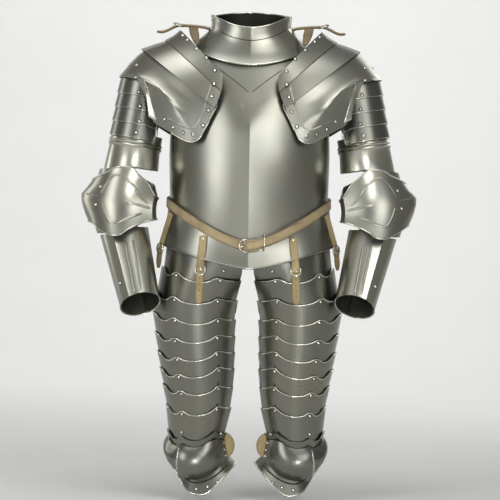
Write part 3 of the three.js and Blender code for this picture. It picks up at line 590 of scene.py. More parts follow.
def smoothing_group():
    """Node group that welds and smooths a plate and marks the faces of its inside, where painted shade can
    go.
    """
    group = bpy.data.node_groups.new("smooth_plate", "GeometryNodeTree")
    group.interface.new_socket("Geometry", in_out="INPUT", socket_type="NodeSocketGeometry")
    group.interface.new_socket("Geometry", in_out="OUTPUT", socket_type="NodeSocketGeometry")

    def add(kind, inputs=(), **settings):
        return add_node(group, kind, inputs, **settings)

    def compare(value, operation, limit):
        return add("FunctionNodeCompare", {0: value, 1: limit}, operation=operation).outputs["Result"]

    def logic(first, operation, second):
        return add("FunctionNodeBooleanMath", {0: first, 1: second}, operation=operation).outputs[0]

    def shade(geometry, domain):
        return add("GeometryNodeSetShadeSmooth", {"Geometry": geometry}, domain=domain)

    def vector(operation, first, second):
        node = add("ShaderNodeVectorMath", {0: first, 1: second}, operation=operation)
        return node.outputs["Value" if operation == "DOT_PRODUCT" else "Vector"]

    start = add("NodeGroupInput").outputs[0]
    bare = add("GeometryNodeRemoveAttribute", {"Geometry": start, "Name": "custom_normal"}).outputs[0]
    weld = add("GeometryNodeMergeByDistance", {"Geometry": bare, "Distance": WELD_DISTANCE}).outputs[0]
    edges = shade(shade(weld, "FACE").outputs[0], "EDGE")

    angle = add("GeometryNodeInputMeshEdgeAngle").outputs["Unsigned Angle"]
    place = add("GeometryNodeInputPosition").outputs[0]
    parts = add("ShaderNodeSeparateXYZ", {0: place})
    from_middle = add("ShaderNodeMath", {0: parts.outputs["X"]}, operation="ABSOLUTE").outputs[0]
    off_ridge = compare(from_middle, "GREATER_THAN", RIDGE_HALF)
    smooth_there = logic(off_ridge, "OR", compare(angle, "LESS_THAN", FLAT_BELOW))
    smooth_edge = logic(compare(angle, "LESS_THAN", SMOOTH_BELOW), "AND", smooth_there)
    group.links.new(smooth_edge, edges.inputs["Shade Smooth"])

    box = add("GeometryNodeBoundBox", {0: start})
    total = vector("ADD", box.outputs["Min"], box.outputs["Max"])
    middle = vector("MULTIPLY", total, (0.5, 0.5, 0.0))
    base = vector("MULTIPLY", box.outputs["Min"], (0.0, 0.0, HEIGHT_SHARE))
    here = vector("MULTIPLY", place, (1.0, 1.0, HEIGHT_SHARE))
    outward = vector("SUBTRACT", here, vector("ADD", middle, base))
    facing = vector("DOT_PRODUCT", outward, add("GeometryNodeInputNormal").outputs[0])
    marked = {"Geometry": edges.outputs[0], "Name": "inside"}
    mark = add("GeometryNodeStoreNamedAttribute", marked, data_type="FLOAT", domain="FACE")
    value = next(item for item in mark.inputs if item.name == "Value" and item.enabled)
    group.links.new(compare(facing, "LESS_THAN", 0.0), value)
    add("NodeGroupOutput", {0: mark.outputs[0]})
    return group


# Finish by place, with darker and lighter copies of one steel as painted shade and painted light
def finish_of(name):
    if ("lame" in name and "elbow" not in name) or "tasset" in name or "poleyn" in name:
        return plate_steel_soft
    if "cannon" in name or "vambrace" in name:
        return arm_steel
    if "gorget" in name:
        return gorget_steel
    return backplate_steel_shaded if name == "backplate" else plate_steel


smooth_plate = smoothing_group()
for name, item in nodes.items():
    if "strap" in name or "belt" in name:
        continue
    item.data.materials.clear()
    item.data.materials.append(finish_of(name))
    item.modifiers.new("smooth", "NODES").node_group = smooth_plate

SIDES = (("right_", 1), ("left_", -1))


def both(word, names):
    return [word + name for name in names]


def numbered(stem, count):
    return [stem + "_%d" % number for number in range(1, count + 1)]


def mirrored(places, sign):
    """Places of the wearer's right, moved to the side that sign gives."""
    return [(place[0] * sign,) + tuple(place[1:]) for place in places]


# Rivets: x and z in millimetres on the wearer's right
PAULDRON = ["neck_plate", "shoulder_plate", "main_pauldron"]
SHOULDER_LAMES = numbered("shoulder_lame", 4)
THIGH_LAMES = numbered("tasset_lame", 8)
TASSETS = ["tasset_top"] + THIGH_LAMES + ["knee_lame", "poleyn"]
ELBOW = ["couter", "elbow_upper_lame", "elbow_lower_lame"]
PAULDRON_RIVETS = [(-150, 27), (-139, 15), (-118, -6), (-96, -27), (-77, -55), (-78, -84), (-83, -111),
                   (-89, -142), (-101, -174), (-122, -194), (-144, -190), (-166, -178), (-185, -161),
                   (-249, -40), (-271, -36)]
LAME_RIVETS = [(-249, -69), (-243, -99), (-240, -130), (-240, -163), (-247, -188)]
COUTER_RIVETS = [(-322, -280), (-324, -307), (-333, -346)]
OUTER_RIVETS = [(-155, -497), (-158, -550), (-156, -595), (-155, -639), (-150, -680), (-146, -717),
                (-140, -753), (-139, -798), (-139, -838)]
INNER_RIVETS = [(-59, -508), (-64, -552), (-63, -595), (-64, -631), (-64, -667), (-60, -702), (-60, -742),
                (-63, -787), (-54, -840)]
KNEE_RIVETS = [(-47, -861), (-45, -876), (-43, -889), (-105, -958), (-81, -953), (-60, -943), (-42, -926)]
GORGET_RIVETS = [(-83, 66), (-88, 45)]
SLOTS = [(-60.5, -692), (-60.5, -731), (-63, -777)]
FOREARM = ["vambrace_inner", "vambrace_outer"]
ARM = SHOULDER_LAMES + ["upper_cannon", "main_pauldron"]
# Name, places, plates, radius and whether they sit on the back
RIVET_ROWS = [
    ("pauldron_rivets", PAULDRON_RIVETS, PAULDRON, 3.6, False),
    ("pauldron_back_rivets", PAULDRON_RIVETS[1:13], PAULDRON, 3.6, True),
    ("lame_rivets", LAME_RIVETS, ARM, 3.4, False),
    ("lame_back_rivets", LAME_RIVETS, ARM, 3.4, True),
    ("elbow_rivets", COUTER_RIVETS, ELBOW, 3.6, False),
    ("elbow_back_rivets", COUTER_RIVETS, ELBOW, 3.6, True),
    ("vambrace_rivet", [(-275, -515)], FOREARM, 3.6, False),
    ("outer_tasset_rivets", OUTER_RIVETS, TASSETS, 3.4, False),
    ("inner_tasset_rivets", INNER_RIVETS, TASSETS, 3.4, False),
    ("tasset_rivets", [(-171, -785), (-52, -486)], TASSETS, 3.4, False),
    ("knee_rivets", KNEE_RIVETS, TASSETS, 3.2, False),
]
GORGET_RIVET = 3.0
RIVET_RISE = 0.62
GRIME_SHADE_RING_SPREAD = 1.28
GRIME_SHADE_RING_RISE = 0.5
SLOT_RADIUS = 1.9
SLOT_RISE = 0.45
SLOT_DROPS = (-1.8, 0, 1.8)


def rivets(name, places, names, radius, back=False):
    """Rivet heads on the foremost of the plates, one object for each body, each head on a dark ring of
    painted shade and grime.
    """
    groups = {}
    for x, z in places:
        found = front_hit(names, x, z, back)
        if found is None:
            continue
        heads, rings = groups.setdefault(body_of_node[found[2]], (([], []), ([], [])))
        dome(*heads, found[0], found[1], radius * MM, radius * RIVET_RISE * MM)
        # Dark ring under the head: painted shade and grime round the rivet
        dome(*rings, found[0], found[1], radius * GRIME_SHADE_RING_SPREAD * MM, GRIME_SHADE_RING_RISE * MM, rings=2)
    for number, (body, (heads, rings)) in enumerate(sorted(groups.items())):
        mesh_object("%s_%d" % (name, number), *heads, rivet_steel, body)
        mesh_object("%s_%d_seat" % (name, number), *rings, painted_shade_steel, body)


def single_rivet(name, centre, normal, radius, rise, body):
    points, faces = [], []
    dome(points, faces, centre, normal, radius * MM, rise * MM)
    mesh_object(name, points, faces, rivet_steel, body)


def slots(word, sign, names):
    """Short upright slots of the sliding rivets, each made of three dark drops of painted shade."""
    for number, (x, z) in enumerate(mirrored(SLOTS, sign)):
        found = front_hit(names, x, z)
        points, faces = [], []
        for drop in SLOT_DROPS:
            spot = front_hit([found[2]], x, z + drop)
            dome(points, faces, spot[0], spot[1], SLOT_RADIUS * MM, SLOT_RISE * MM, rings=2)
        mesh_object(word + "slot_%d" % number, points, faces, painted_shade_steel, body_of_node[found[2]])


for word, sign in SIDES:
    for title, places, plates, radius, back in RIVET_ROWS:
        rivets(word + title, mirrored(places, sign), both(word, plates), radius, back)
    slots(word, sign, both(word, TASSETS))
    rivets(word + "gorget_rivets", mirrored(GORGET_RIVETS, sign), ["gorget_front"], GORGET_RIVET)

# Rolled and roped edges: radii in millimetres, limits in metres. The fauld rope and the thigh lames' side
# ropes are in the rope steel, every other edge here in the lighter edge steel, a painted highlight.
FAULD_EDGE_TOP = -0.4245
COLLAR_FRONT_BASE = 0.038
COLLAR_BACK_BASE = 0.060
LAME_INNER_BAND = 0.006
LAME_TOP_CLEAR = 0.004
LAME_FRONT = -0.008
LAME_INNER_FRONT = -0.010
LAME_TOP_FRONT = -0.006
PAULDRON_TOP = -0.050
PAULDRON_REACH = 0.200
SHOULDER_FRONT = 0.004
WRIST_TOP = -0.536
WRIST_MIDDLE = 0.192
WRIST_SLOPE = 0.27
POLEYN_EDGE_TOP = -0.900
SHORTEST_RUN = 6
SHORTEST_WRIST = 3


def roped(title, name, test, radius, strands=3, material=None):
    path = run_of(rim_loops(name)[0], test)
    finish = material or (rope_steel if strands else edge_steel)
    rope(title, path, radius, body_of_node[name], finish, strands)


def mean_height(points):
    return sum(point.z for point in points) / len(points)


def thigh_edges(word):
    """Ropes down both sides of each thigh lame, then a bevel along each scalloped top in the lighter edge
    steel, a painted highlight.
    """
    plates = both(word, THIGH_LAMES)
    inners = [min(abs(vertex.co.x) for vertex in nodes[plate].data.vertices) for plate in plates]
    for number, (plate, inner) in enumerate(zip(plates, inners), 1):
        roped(word + "lame_%d_inner_rope" % number, plate,
              lambda p: abs(p.x) < inner + LAME_INNER_BAND and p.y < LAME_INNER_FRONT, 1.3)
        roped(word + "lame_%d_outer_rope" % number, plate, lambda p: p.y > LAME_FRONT, 1.3)
    for plate, inner in zip(plates, inners):
        tops = runs_of(rim_loops(plate)[0],
                       lambda p: abs(p.x) > inner + LAME_TOP_CLEAR and p.y < LAME_TOP_FRONT)
        rope(plate + "_bevel", max(tops, key=mean_height), 1.5, body_of_node[plate], edge_steel, 0)


def couter_edges(word):
    by_height = sorted(rim_loops(word + "couter")[:4], key=mean_height)
    for label, pair_of_loops in (("low", by_height[:2]), ("top", by_height[2:])):
        outer = max(pair_of_loops, key=loop_length)
        title = word + "couter_%s_rope" % label
        rope(title, outer + [outer[0]], 1.9, body_of_node[word + "couter"], edge_steel)


def run_ropes(title, plate, tests, radius, strands, shortest):
    """A rope along every long enough run of the rim that passes a test."""
    rim = rim_loops(plate)[0]
    runs = [run for test in tests for run in runs_of(rim, test)]
    for number, run in enumerate(runs):
        if len(run) > shortest:
            rope(title + "_%d" % number, run, radius, body_of_node[plate], edge_steel, strands)


roped("fauld_rope", "fauld", lambda p: p.z < FAULD_EDGE_TOP, 2.5)
roped("gorget_front_roll", "gorget_front", lambda p: p.z < 0.0, 2.2, 0)
roped("gorget_back_roll", "gorget_back", lambda p: p.z < 0.0, 2.4, 0)
roped("collar_front_roll", "gorget_front", lambda p: p.z > COLLAR_FRONT_BASE, 1.9, 0)
roped("collar_back_roll", "gorget_back", lambda p: p.z > COLLAR_BACK_BASE, 1.9, 0)
for word, sign in SIDES:
    thigh_edges(word)
    couter_edges(word)
    run_ropes(word + "pauldron_rope", word + "main_pauldron",
              [lambda p: p.z < PAULDRON_TOP and abs(p.x) < PAULDRON_REACH], 1.25, 2, SHORTEST_RUN)
    for plate in both(word, SHOULDER_LAMES):
        run_ropes(plate + "_bevel", plate,
                  [lambda p: p.y < -SHOULDER_FRONT, lambda p: p.y > SHOULDER_FRONT],
                  0.9, 0, SHORTEST_RUN)
    for plate in both(word, FOREARM):
        run_ropes(plate + "_rim", plate,
                  [lambda p: p.z < WRIST_TOP - (abs(p.x) - WRIST_MIDDLE) * WRIST_SLOPE],
                  1.2, 0, SHORTEST_WRIST)
    roped(word + "poleyn_roll", word + "poleyn", lambda p: p.z < POLEYN_EDGE_TOP, 2.3, 0, edge_steel)

# Embossed lines: name, plates, corners in millimetres, radius and finish. A line in the edge steel is a
# painted highlight, one in the dark groove steel painted shade.
PAULDRON_PANEL = [(-84, -80), (-92, -112), (-103, -150), (-116, -174), (-131, -181), (-158, -170),
                  (-184, -156)]
COUTER_PANEL_TOP = [(-326, -326), (-313, -305), (-298, -286), (-284, -280), (-266, -288), (-250, -305),
                    (-238, -325), (-216, -346)]
COUTER_PANEL_LOW = [(-320, -341), (-312, -364), (-303, -382), (-290, -386), (-264, -376), (-228, -362)]
COP_CREASE = [(-134, -934), (-120, -943), (-104, -946), (-84, -941), (-68, -933), (-50, -919), (-36, -906)]
LINES = [
    ("pauldron_panel", PAULDRON, PAULDRON_PANEL, 1.7, plate_steel),
    ("couter_panel_top", ["couter"], COUTER_PANEL_TOP, 2.2, plate_steel),
    ("couter_panel_low", ["couter"], COUTER_PANEL_LOW, 2.2, plate_steel),
    ("couter_ridge", ["couter"], [(-272, -338), (-245, -344), (-212, -353)], 2.3, plate_steel),
    ("couter_crease", ["couter"], [(-372, -319), (-352, -322), (-328, -327)], 1.6, plate_steel),
    ("vambrace_flute_1", FOREARM, [(-268, -418), (-255, -478), (-242, -538)], 2.0, plate_steel),
    ("vambrace_flute_2", FOREARM, [(-250, -418), (-239, -478), (-228, -534)], 2.0, plate_steel),
    ("cop_ridge", ["poleyn"], [(-144, -868), (-149, -900), (-146, -930)], 1.7, edge_steel),
    ("cop_crease", ["poleyn"], COP_CREASE, 1.5, painted_shade_steel),
    ("vambrace_seam", FOREARM, [(-293.5, -424), (-264.5, -540)], 0.8, painted_shade_steel),
]
COLLAR_SEAM = [(-84, 48), (-66, 35), (-42, 22), (0, 14), (42, 22), (66, 35), (84, 48)]
BREAST_CREASE = [(-70, -48), (-32, -77), (-2, -102)]
HINGE_ENDS = [(-260.5, 20.5, -410), (-217.5, -73, -578)]
HINGE_RADIUS = 2.3
HINGE_STEPS = 30
FLARE_INNER = [(-229, -70), (-202, -165)]
FLARE_OUTER = [(-231, -72), (-220, -155)]
FLARE_STEPS = 14
FLARE_ROWS = 6
FLARE_WALL = 1.3
FLARE_SEAT = 1.0
FLARE_CLEAR = 5
FLARE_DIP = 4


def part_way(ends, t):
    return [low * (1 - t) + high * t for low, high in zip(*ends)]


def pauldron_flare(word, sign):
    """Three-cornered flare at the pauldron's outer corner, clear of the lames, in the lighter edge steel
    as a painted highlight.
    """
    tops, lows = [], []
    slides = both(word, SHOULDER_LAMES + ["upper_cannon"])
    for step in range(FLARE_STEPS):
        t = step / (FLARE_STEPS - 1)
        near = front_hit(both(word, PAULDRON), *part_way(mirrored(FLARE_INNER, sign), t))
        x, z = part_way(mirrored(FLARE_OUTER, sign), t)
        under = front_hit(slides, x, z)
        inner_end = near[0] - VIEW * FLARE_SEAT * MM
        outer_end = Vector((x * MM, inner_end.y, z * MM))
        if step:
            clear = under[0].y - FLARE_CLEAR * MM if under else inner_end.y
            outer_end.y = min(clear, inner_end.y + FLARE_DIP * MM)
        for row in range(FLARE_ROWS):
            spot = inner_end.lerp(outer_end, row / (FLARE_ROWS - 1))
            tops.append(spot)
            lows.append(spot + VIEW * FLARE_WALL * MM)
    faces = []
    size = FLARE_STEPS * FLARE_ROWS
    for step in range(FLARE_STEPS - 1):
        for row in range(FLARE_ROWS - 1):
            a = step * FLARE_ROWS + row
            quad = (a, a + 1, a + 1 + FLARE_ROWS, a + FLARE_ROWS)
            faces.append(quad)
            faces.append(tuple(size + index for index in reversed(quad)))
    rim = list(range(FLARE_ROWS))
    rim += [step * FLARE_ROWS + FLARE_ROWS - 1 for step in range(1, FLARE_STEPS)]
    rim += [size - 1 - row for row in range(1, FLARE_ROWS)]
    rim += [step * FLARE_ROWS for step in range(FLARE_STEPS - 2, 0, -1)]
    for index, a in enumerate(rim):
        b = rim[(index + 1) % len(rim)]
        faces.append((b, a, a + size, b + size))
    body = body_of_node[word + "main_pauldron"]
    mesh_object(word + "pauldron_flare", tops + lows, faces, edge_steel, body)


for word, sign in SIDES:
    for title, names, corners, radius, finish in LINES:
        relief(word + title, both(word, names), mirrored(corners, sign), radius, finish)
    pauldron_flare(word, sign)
    high_end, low_end = [Vector(place) * MM for place in mirrored(HINGE_ENDS, sign)]
    barrel = [high_end.lerp(low_end, step / HINGE_STEPS) for step in range(HINGE_STEPS + 1)]
    rope(word + "vambrace_hinge", barrel, HINGE_RADIUS, word + "forearm", rope_steel, 0)
# Dark lines of painted shade in the collar seam and the breast creases
relief("collar_seam", ["gorget_front"], COLLAR_SEAM, 0.75, painted_shade_steel)
for word, sign in SIDES:
    relief(word + "breast_crease", ["breastplate"], mirrored(BREAST_CREASE, sign), 0.65, painted_shade_steel)


# Leather straps and their buckles, in millimetres
STRAP_CORNER = 0.8
STRAP_STEP = 3
DRAPE_START = 0.2
BUCKLE_STEPS = 36
WIRE_SIDES = 10
HOLE_LIFT = 1.45
HOLE_RADIUS = 1.5
HOLE_RISE = 0.25
HOLE_GAP = 4


def rounded_section(width, thick):
    half = width / 2
    flat = max(half - STRAP_CORNER, 0.1)
    top = thick / 2
    low = top - STRAP_CORNER * 0.5
    return [(-half, 0.0), (-half, low), (-flat, top), (-flat * 0.5, top), (0.0, top), (flat * 0.5, top),
            (flat, top), (half, low), (half, 0.0), (half, -low), (flat, -top), (0.0, -top), (-flat, -top),
            (-half, -low)]


def strap(name, path, guide, width, thick, material, body=None, tip=0.0, closed=False):
    """A strap: guide is its outward face at each point, tip its pointed end's length."""
    points, faces, shares = [], [], []
    lengths = [0.0]
    for index in range(1, len(path)):
        lengths.append(lengths[-1] + (path[index] - path[index - 1]).length / MM)

    def section(step, _share):
        left = lengths[-1] - lengths[step]
        pointed = tip and left < tip
        size = width * (min(1.0, 0.30 + 0.70 * math.sqrt(max(left, 0) / tip)) if pointed else 1.0)
        ring = rounded_section(size, thick)
        shares.extend(abs(across) / (size / 2) for across, _up in ring)
        return [(across * MM, up * MM) for across, up in ring]

    add_sweep(points, faces, path, section, closed, guide)
    return mesh_object(name, points, faces, material, body, shares=shares)


def drape(names, places, direction, offset):
    """Path and guide of a strap pulled taut over plates, which direction looks at."""
    rough = curve(places, STRAP_STEP)
    lifts = [Vector((index, value, 0)) for index, value in enumerate(offset)]
    offsets = smooth_path(lifts, (len(offset) - 1) / max(len(rough) - 1, 1))
    heights = []
    for index, point in enumerate(rough):
        found = hit_on(names, point - direction * DRAPE_START, direction)
        lift = offsets[min(index, len(offsets) - 1)].y * MM
        heights.append((found[0] - point).dot(direction) - lift if found else None)
    hull = []
    for index, height in enumerate(heights):
        if height is None:
            continue
        while len(hull) > 1:
            a, b = hull[-2], hull[-1]
            share = (b - a) / (index - a)
            if heights[b] < heights[a] + (height - heights[a]) * share:
                break
            hull.pop()
        hull.append(index)
    path = []
    for index, point in enumerate(rough):
        a = max([one for one in hull if one <= index], default=hull[0])
        b = min([one for one in hull if one >= index], default=hull[-1])
        share = (index - a) / (b - a) if b > a else 0
        path.append(point + direction * (heights[a] + (heights[b] - heights[a]) * share))
    for _round in range(SOFTENING_ROUNDS):
        path = softened(path)
    return path, [-direction for _point in path]


def buckle(name, centre, normal, along, radius, wire, body):
    """A round buckle: thick ring with its bar and a prong across it."""
    points, faces = [], []
    side = along.cross(normal).normalized()
    along = normal.cross(side).normalized()
    ring = [centre + (side * x + along * y) * radius * MM for x, y in circle(BUCKLE_STEPS)]

    def add_wire(path, size, facing, closed=False):
        section = oval(WIRE_SIDES, size, size)
        add_sweep(points, faces, path, lambda _step, _share: section, closed, [facing] * len(path))

    add_wire(ring, wire, normal, closed=True)
    add_wire([centre - side * radius * MM, centre, centre + side * radius * MM], wire * 0.75, normal)
    add_wire([centre + normal * wire * MM, centre - along * radius * 0.6 * MM + normal * wire * 1.3 * MM,
              centre - along * (radius + wire) * MM + normal * wire * 0.9 * MM], wire * 0.6, side)
    mesh_object(name, points, faces, buckle_steel, body)


def strap_holes(name, path, guide, first, count, body):
    """Punched holes along the middle of a strap, as small dark drops of painted shade."""
    points, faces = [], []
    for index in range(first, min(first + count * HOLE_GAP, len(path)), HOLE_GAP):
        dome(points, faces, path[index] + guide[index] * HOLE_LIFT * MM, guide[index], HOLE_RADIUS * MM,
             HOLE_RISE * MM, rings=2, sides=10)
    mesh_object(name, points, faces, hole_dark, body)


INNER_STRAP = [(-96, 0, -411), (-99, 0, -445), (-102, 0, -476), (-104, 0, -520), (-105, 0, -557)]
INNER_STRAP_LIFTS = [2.6, 2.8, 3.4, 5.2, 6.4]
INNER_BUCKLE_Z = -0.484
OUTER_STRAP = [(-172, -60, -362), (-186, -56, -400), (-199, -52, -440), (-203, -50, -482)]
OUTER_STRAP_LIFTS = [3.0, 3.0, 4.0, 6.0]
OUTER_BUCKLE_Z = -0.440
SHOULDER_STRAP = [(-91, 0, 44), (-97, 0, 47), (-108, 0, 49), (-122, 0, 50.4), (-140, 0, 51.5),
                  (-158, 0, 52), (-172, 0, 47), (-186, 0, 40), (-197, 0, 37), (-207, 0, 38)]
BUCKLE_REACH = 0.158
SHOULDER_TAB = [(-127, 2, 48.5), (-127, -10, 46), (-125, -26, 36), (-121, -42, 21), (-117, -51, 7)]
KNEE_STRAP = [(-41, -36, -843), (-38, -34, -856), (-37, -33, -868), (-38, -33, -880), (-42, -34, -892)]


def inner_strap(word, sign):
    """Inner tasset strap: riveted to the fauld, buckled over its edge to the tasset."""
    tasset = word + "tasset"
    under = ["fauld"] + both(word, ["tasset_top"] + THIGH_LAMES[:3])
    path, guide = drape(under, mirrored(INNER_STRAP, sign), VIEW, INNER_STRAP_LIFTS)
    inner = strap(word + "inner_strap_leather", path, guide, 17.5, 3.0, tan_leather, tip=15)
    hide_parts(word + "inner_tasset_strap")
    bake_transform(inner)
    strap_holes(word + "inner_strap_holes", path, guide, 30, 4, tasset)
    near = nearest_index(path, lambda point: abs(point.z - INNER_BUCKLE_Z))
    buckle(word + "inner_buckle", path[near] - VIEW * 1.2 * MM, Vector((0, -0.96, 0.28)),
           Vector((0, -0.28, -0.96)), 10.8, 1.8, tasset)
    single_rivet(word + "inner_strap_rivet", path[2] - VIEW * 1.4 * MM, -VIEW, 3.2, 1.8, "torso")


def outer_strap(word, sign):
    """Outer tasset strap on the side of the fauld."""
    look = Vector((0.80 * sign, 0.60, 0))
    path, guide = drape(["fauld", "breastplate"], mirrored(OUTER_STRAP, sign), look, OUTER_STRAP_LIFTS)
    outer = strap(word + "outer_strap_leather", path, guide, 17.0, 3.0, tan_leather, "torso", tip=15)
    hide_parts(word + "outer_tasset_strap")
    near = nearest_index(path, lambda point: abs(point.z - OUTER_BUCKLE_Z))
    buckle(word + "outer_buckle", path[near] - look * 1.2 * MM, -look, Vector((0, 0, -1)) - look * 0.28,
           11.5, 1.8, "torso")


def side_guide(path, axis, faces_out):
    """Outward face at each point of a strap that keeps square to an axis."""
    normals = [tangent_at(path, index).normalized().cross(axis) for index in range(len(path))]
    return [normal if faces_out(normal) else -normal for normal in normals]


def shoulder_strap(word, sign):
    """Strap from the gorget over the pauldron with its buckle."""
    body = word + "shoulder"
    path = curve(mirrored(SHOULDER_STRAP, sign), STRAP_STEP)
    guide = side_guide(path, VIEW, lambda normal: normal.z > 0)
    guide = [(normal - VIEW * 0.22).normalized() for normal in guide]
    over = strap(word + "shoulder_strap_leather", path, guide, 21.0, 4.4, tan_leather, body, tip=14)
    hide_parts(word + "shoulder_strap")
    near = nearest_index(path, lambda point: abs(abs(point.x) - BUCKLE_REACH))
    facing = (guide[near] + Vector((0.5 * sign, 0, 0))).normalized()
    buckle(word + "shoulder_buckle", path[near] + guide[near] * 1.6 * MM, facing, Vector((-sign, 0, 0.5)),
           11.5, 2.0, body)
    strap_holes(word + "shoulder_strap_holes", path, guide, near + 4, 3, body)
    single_rivet(word + "shoulder_strap_rivet", path[1] + guide[1] * 2.0 * MM,
                 (guide[1] - VIEW * 0.5).normalized(), 3.6, 2.4, body)


def shoulder_tab(word, sign):
    """Dark tab that hangs from the shoulder strap over the pauldron's edge."""
    path = curve(mirrored(SHOULDER_TAB, sign), STRAP_STEP)
    guide = side_guide(path, Vector((1, 0, 0)), lambda normal: normal.y < 0 or normal.z > 0)
    strap(word + "shoulder_tab", path, guide, 20.0, 2.6, dark_leather, word + "shoulder", tip=30)


def knee_strap(word, sign):
    """Leaf-shaped strap end behind the inner side of the knee."""
    points, faces, shares = [], [], []
    path = curve(mirrored(KNEE_STRAP, sign), 2)

    def leaf(_step, share):
        ring = rounded_section(6 + 21 * math.sin(math.pi * min(max(share, 0.02), 0.98)) ** 0.7, 5.0)
        shares.extend(abs(across) / max(abs(one[0]) for one in ring) for across, _up in ring)
        return [(across * MM, up * MM) for across, up in ring]

    add_sweep(points, faces, path, leaf, guide=[Vector((sign * 0.35, -0.94, 0))] * len(path))
    mesh_object(word + "knee_strap", points, faces, tan_leather, word + "knee", shares=shares)


for word, sign in SIDES:
    inner_strap(word, sign)
    outer_strap(word, sign)
    shoulder_strap(word, sign)
    shoulder_tab(word, sign)

# Waist belt over the fauld's upper lap, with round buckle, keeper and hanging end
WAIST = ["fauld", "breastplate", "backplate"]
HALF_WAIST = 182.0
BELT_SIDE_Z = -333.0
BELT_DROP = 99.0
BELT_DROP_POWER = 1.45
BELT_FIRST_Z = -380.0
BELT_LIFT = 3.6
BELT_TRIES = 5
BELT_SOFTENING = 4
BELT_TURNS = 180
KEEPER_X = 34
KEEPER_CORNERS = [(-15, -2.6), (15, -2.6), (15, 9.0), (-15, 9.0)]


def belt_height(x, y):
    if y > 0:
        return BELT_SIDE_Z
    share = min(abs(x) / HALF_WAIST, 1.0)
    return BELT_SIDE_Z - BELT_DROP * (1 - share ** BELT_DROP_POWER)


def belt_route():
    """Path and guide round the waist, its heights found from ray hits."""
    path, guide = [], []
    for index in range(BELT_TURNS):
        turn = math.tau * (index + 0.25) / BELT_TURNS
        outward = Vector((math.sin(turn), -math.cos(turn), 0))
        found = None
        z = BELT_FIRST_Z
        for _try in range(BELT_TRIES):
            near = hit_on(WAIST, outward * 0.5 + Vector((0, 0, z * MM)), -outward)
            if near:
                found = near
                z = belt_height(found[0].x / MM, found[0].y / MM)
        if found:
            path.append(found[0].xy.to_3d() + UP * z * MM + outward * BELT_LIFT * MM)
            guide.append(outward)
    for _round in range(BELT_SOFTENING):
        path = softened(path, closed=True)
    return path, guide


belt_path, belt_guide = belt_route()
belt = strap("waist_belt_leather", belt_path, belt_guide, 20.0, 3.4, belt_leather, "torso", closed=True)
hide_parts("waist_belt")
buckle("waist_buckle", belt_path[0] - VIEW * 3.4 * MM + Vector((-7 * MM, 0, 0)), Vector((0.25, -0.97, 0)),
       Vector((0.97, 0.25, 0.25)), 13.5, 1.9, "torso")


def belt_point(x):
    """Nearest belt path index to a front place x in millimetres."""
    fronts = [i for i, point in enumerate(belt_path) if point.y < 0]
    return min(fronts, key=lambda i: abs(belt_path[i].x / MM - x))


def belt_keeper():
    at = belt_point(KEEPER_X)
    run = (belt_path[at + 1] - belt_path[at - 1]).normalized()
    face = belt_guide[at]
    across = (run.cross(face).normalized() - run * 0.35).normalized()
    loop = [belt_path[at] + across * a * MM + face * b * MM for a, b in KEEPER_CORNERS]
    loop = smooth_path(loop + [loop[0]], 2 * MM)[:-1]
    wire = oval(8, 1.3, 1.1)
    points, faces = [], []
    add_sweep(points, faces, loop, lambda _step, _share: wire, closed=True, guide=[run] * len(loop))
    mesh_object("belt_keeper", points, faces, buckle_steel, "torso")


def belt_end(name, places, lift, rise, width, thick, tip):
    """A length of belt on the first one, over front places in millimetres."""
    step = UP * rise * MM / len(places)
    indices = dict.fromkeys(belt_point(x) for x in places)
    path = [belt_path[i] + belt_guide[i] * lift * MM + step * index for index, i in enumerate(indices)]
    path = smooth_path(path, STRAP_STEP * MM)
    near = [nearest_index(belt_path, lambda spot: (spot - point).length) for point in path]
    strap(name, path, [belt_guide[i] for i in near], width, thick, belt_leather, "torso", tip)


belt_keeper()
belt_end("belt_fold", range(-8, 30, 2), lift=3.0, rise=0.0, width=27.0, thick=5.0, tip=10)
belt_end("belt_tail", range(-3, 112, 3), lift=6.2, rise=3.0, width=18.0, thick=3.0, tip=16)
for word, sign in SIDES:
    knee_strap(word, sign)

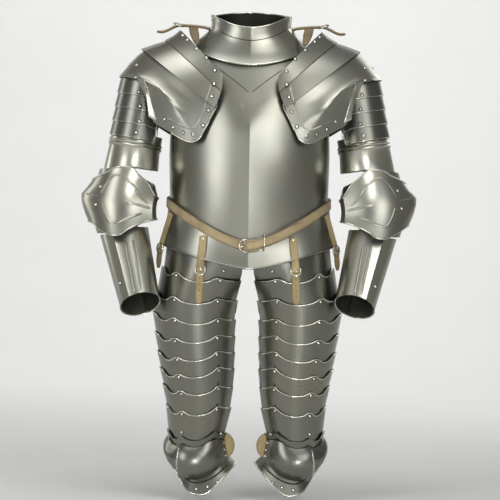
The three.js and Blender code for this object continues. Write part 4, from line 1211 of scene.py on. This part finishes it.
# Plain pale floor and backdrop, soft studio light, in metres
FLOOR_Z = -0.985
FLOOR_HALF = 14.0
DROP = 6.6
DROP_HEIGHT = 7.0
ARC = 2.0
ARC_STEPS = 12
profile = [(-FLOOR_HALF, FLOOR_Z), (DROP - ARC, FLOOR_Z)]
for index in range(1, ARC_STEPS + 1):
    turn = math.pi / 2 * index / ARC_STEPS
    profile.append((DROP - ARC + ARC * math.sin(turn), FLOOR_Z + ARC - ARC * math.cos(turn)))
profile.append((DROP, FLOOR_Z + DROP_HEIGHT))
floor_points = [(x, y, z) for y, z in profile for x in (-FLOOR_HALF, FLOOR_HALF)]
floor_faces = [(2 * i, 2 * i + 1, 2 * i + 3, 2 * i + 2) for i in range(len(profile) - 1)]
studio = mottled("studio_floor", 3.0, 2.0, (0.74, 0.74, 0.73), (0.78, 0.78, 0.77), 0.9, specular=0.1)
floor = mesh_object("studio_floor", floor_points, floor_faces, studio)


def area_light(name, location, target, size, power, spread=math.pi):
    data = bpy.data.lights.new(name, "AREA")
    data.shape = "RECTANGLE"
    data.size, data.size_y = size
    data.energy = power
    data.spread = spread
    lamp = bpy.data.objects.new(name, data)
    lamp.location = location
    lamp.rotation_euler = (Vector(target) - Vector(location)).to_track_quat("-Z", "Y").to_euler()
    scene.collection.objects.link(lamp)


MIDDLE = (0, 0, -0.45)
LOW_SPREAD = math.radians(50)
WORLD_COLOUR = (0.82, 0.82, 0.80, 1.0)
WORLD_STRENGTH = 0.22
# Name, place, target, size and watts
LAMPS = [
    ("key", (1.4, -2.6, 1.3), (0, 0, -0.3), (1.5, 2.0), 28),
    ("fill", (-2.0, -2.1, 0.5), (0, 0, -0.4), (0.9, 2.4), 24),
    ("low", (0.30, -3.2, -0.55), (0, 0, -0.6), (0.34, 1.0), 2.6, LOW_SPREAD),
    ("top", (-0.2, -0.6, 2.1), MIDDLE, (1.8, 1.2), 20),
    ("rim", (-2.2, 1.0, 0.4), MIDDLE, (0.6, 1.8), 8),
    ("back_wash", (0, 3.4, 3.4), (0, 6.6, 0.6), (5.0, 1.0), 190),
    ("back_soft", (1.6, 2.6, 1.2), MIDDLE, (1.0, 1.6), 12),
]
for lamp_row in LAMPS:
    area_light(*lamp_row)
world = bpy.data.worlds.new("studio_world")
world.use_nodes = True
background = world.node_tree.nodes["Background"]
background.inputs["Color"].default_value = WORLD_COLOUR
background.inputs["Strength"].default_value = WORLD_STRENGTH
scene.world = world
scene.view_settings.view_transform = "Standard"
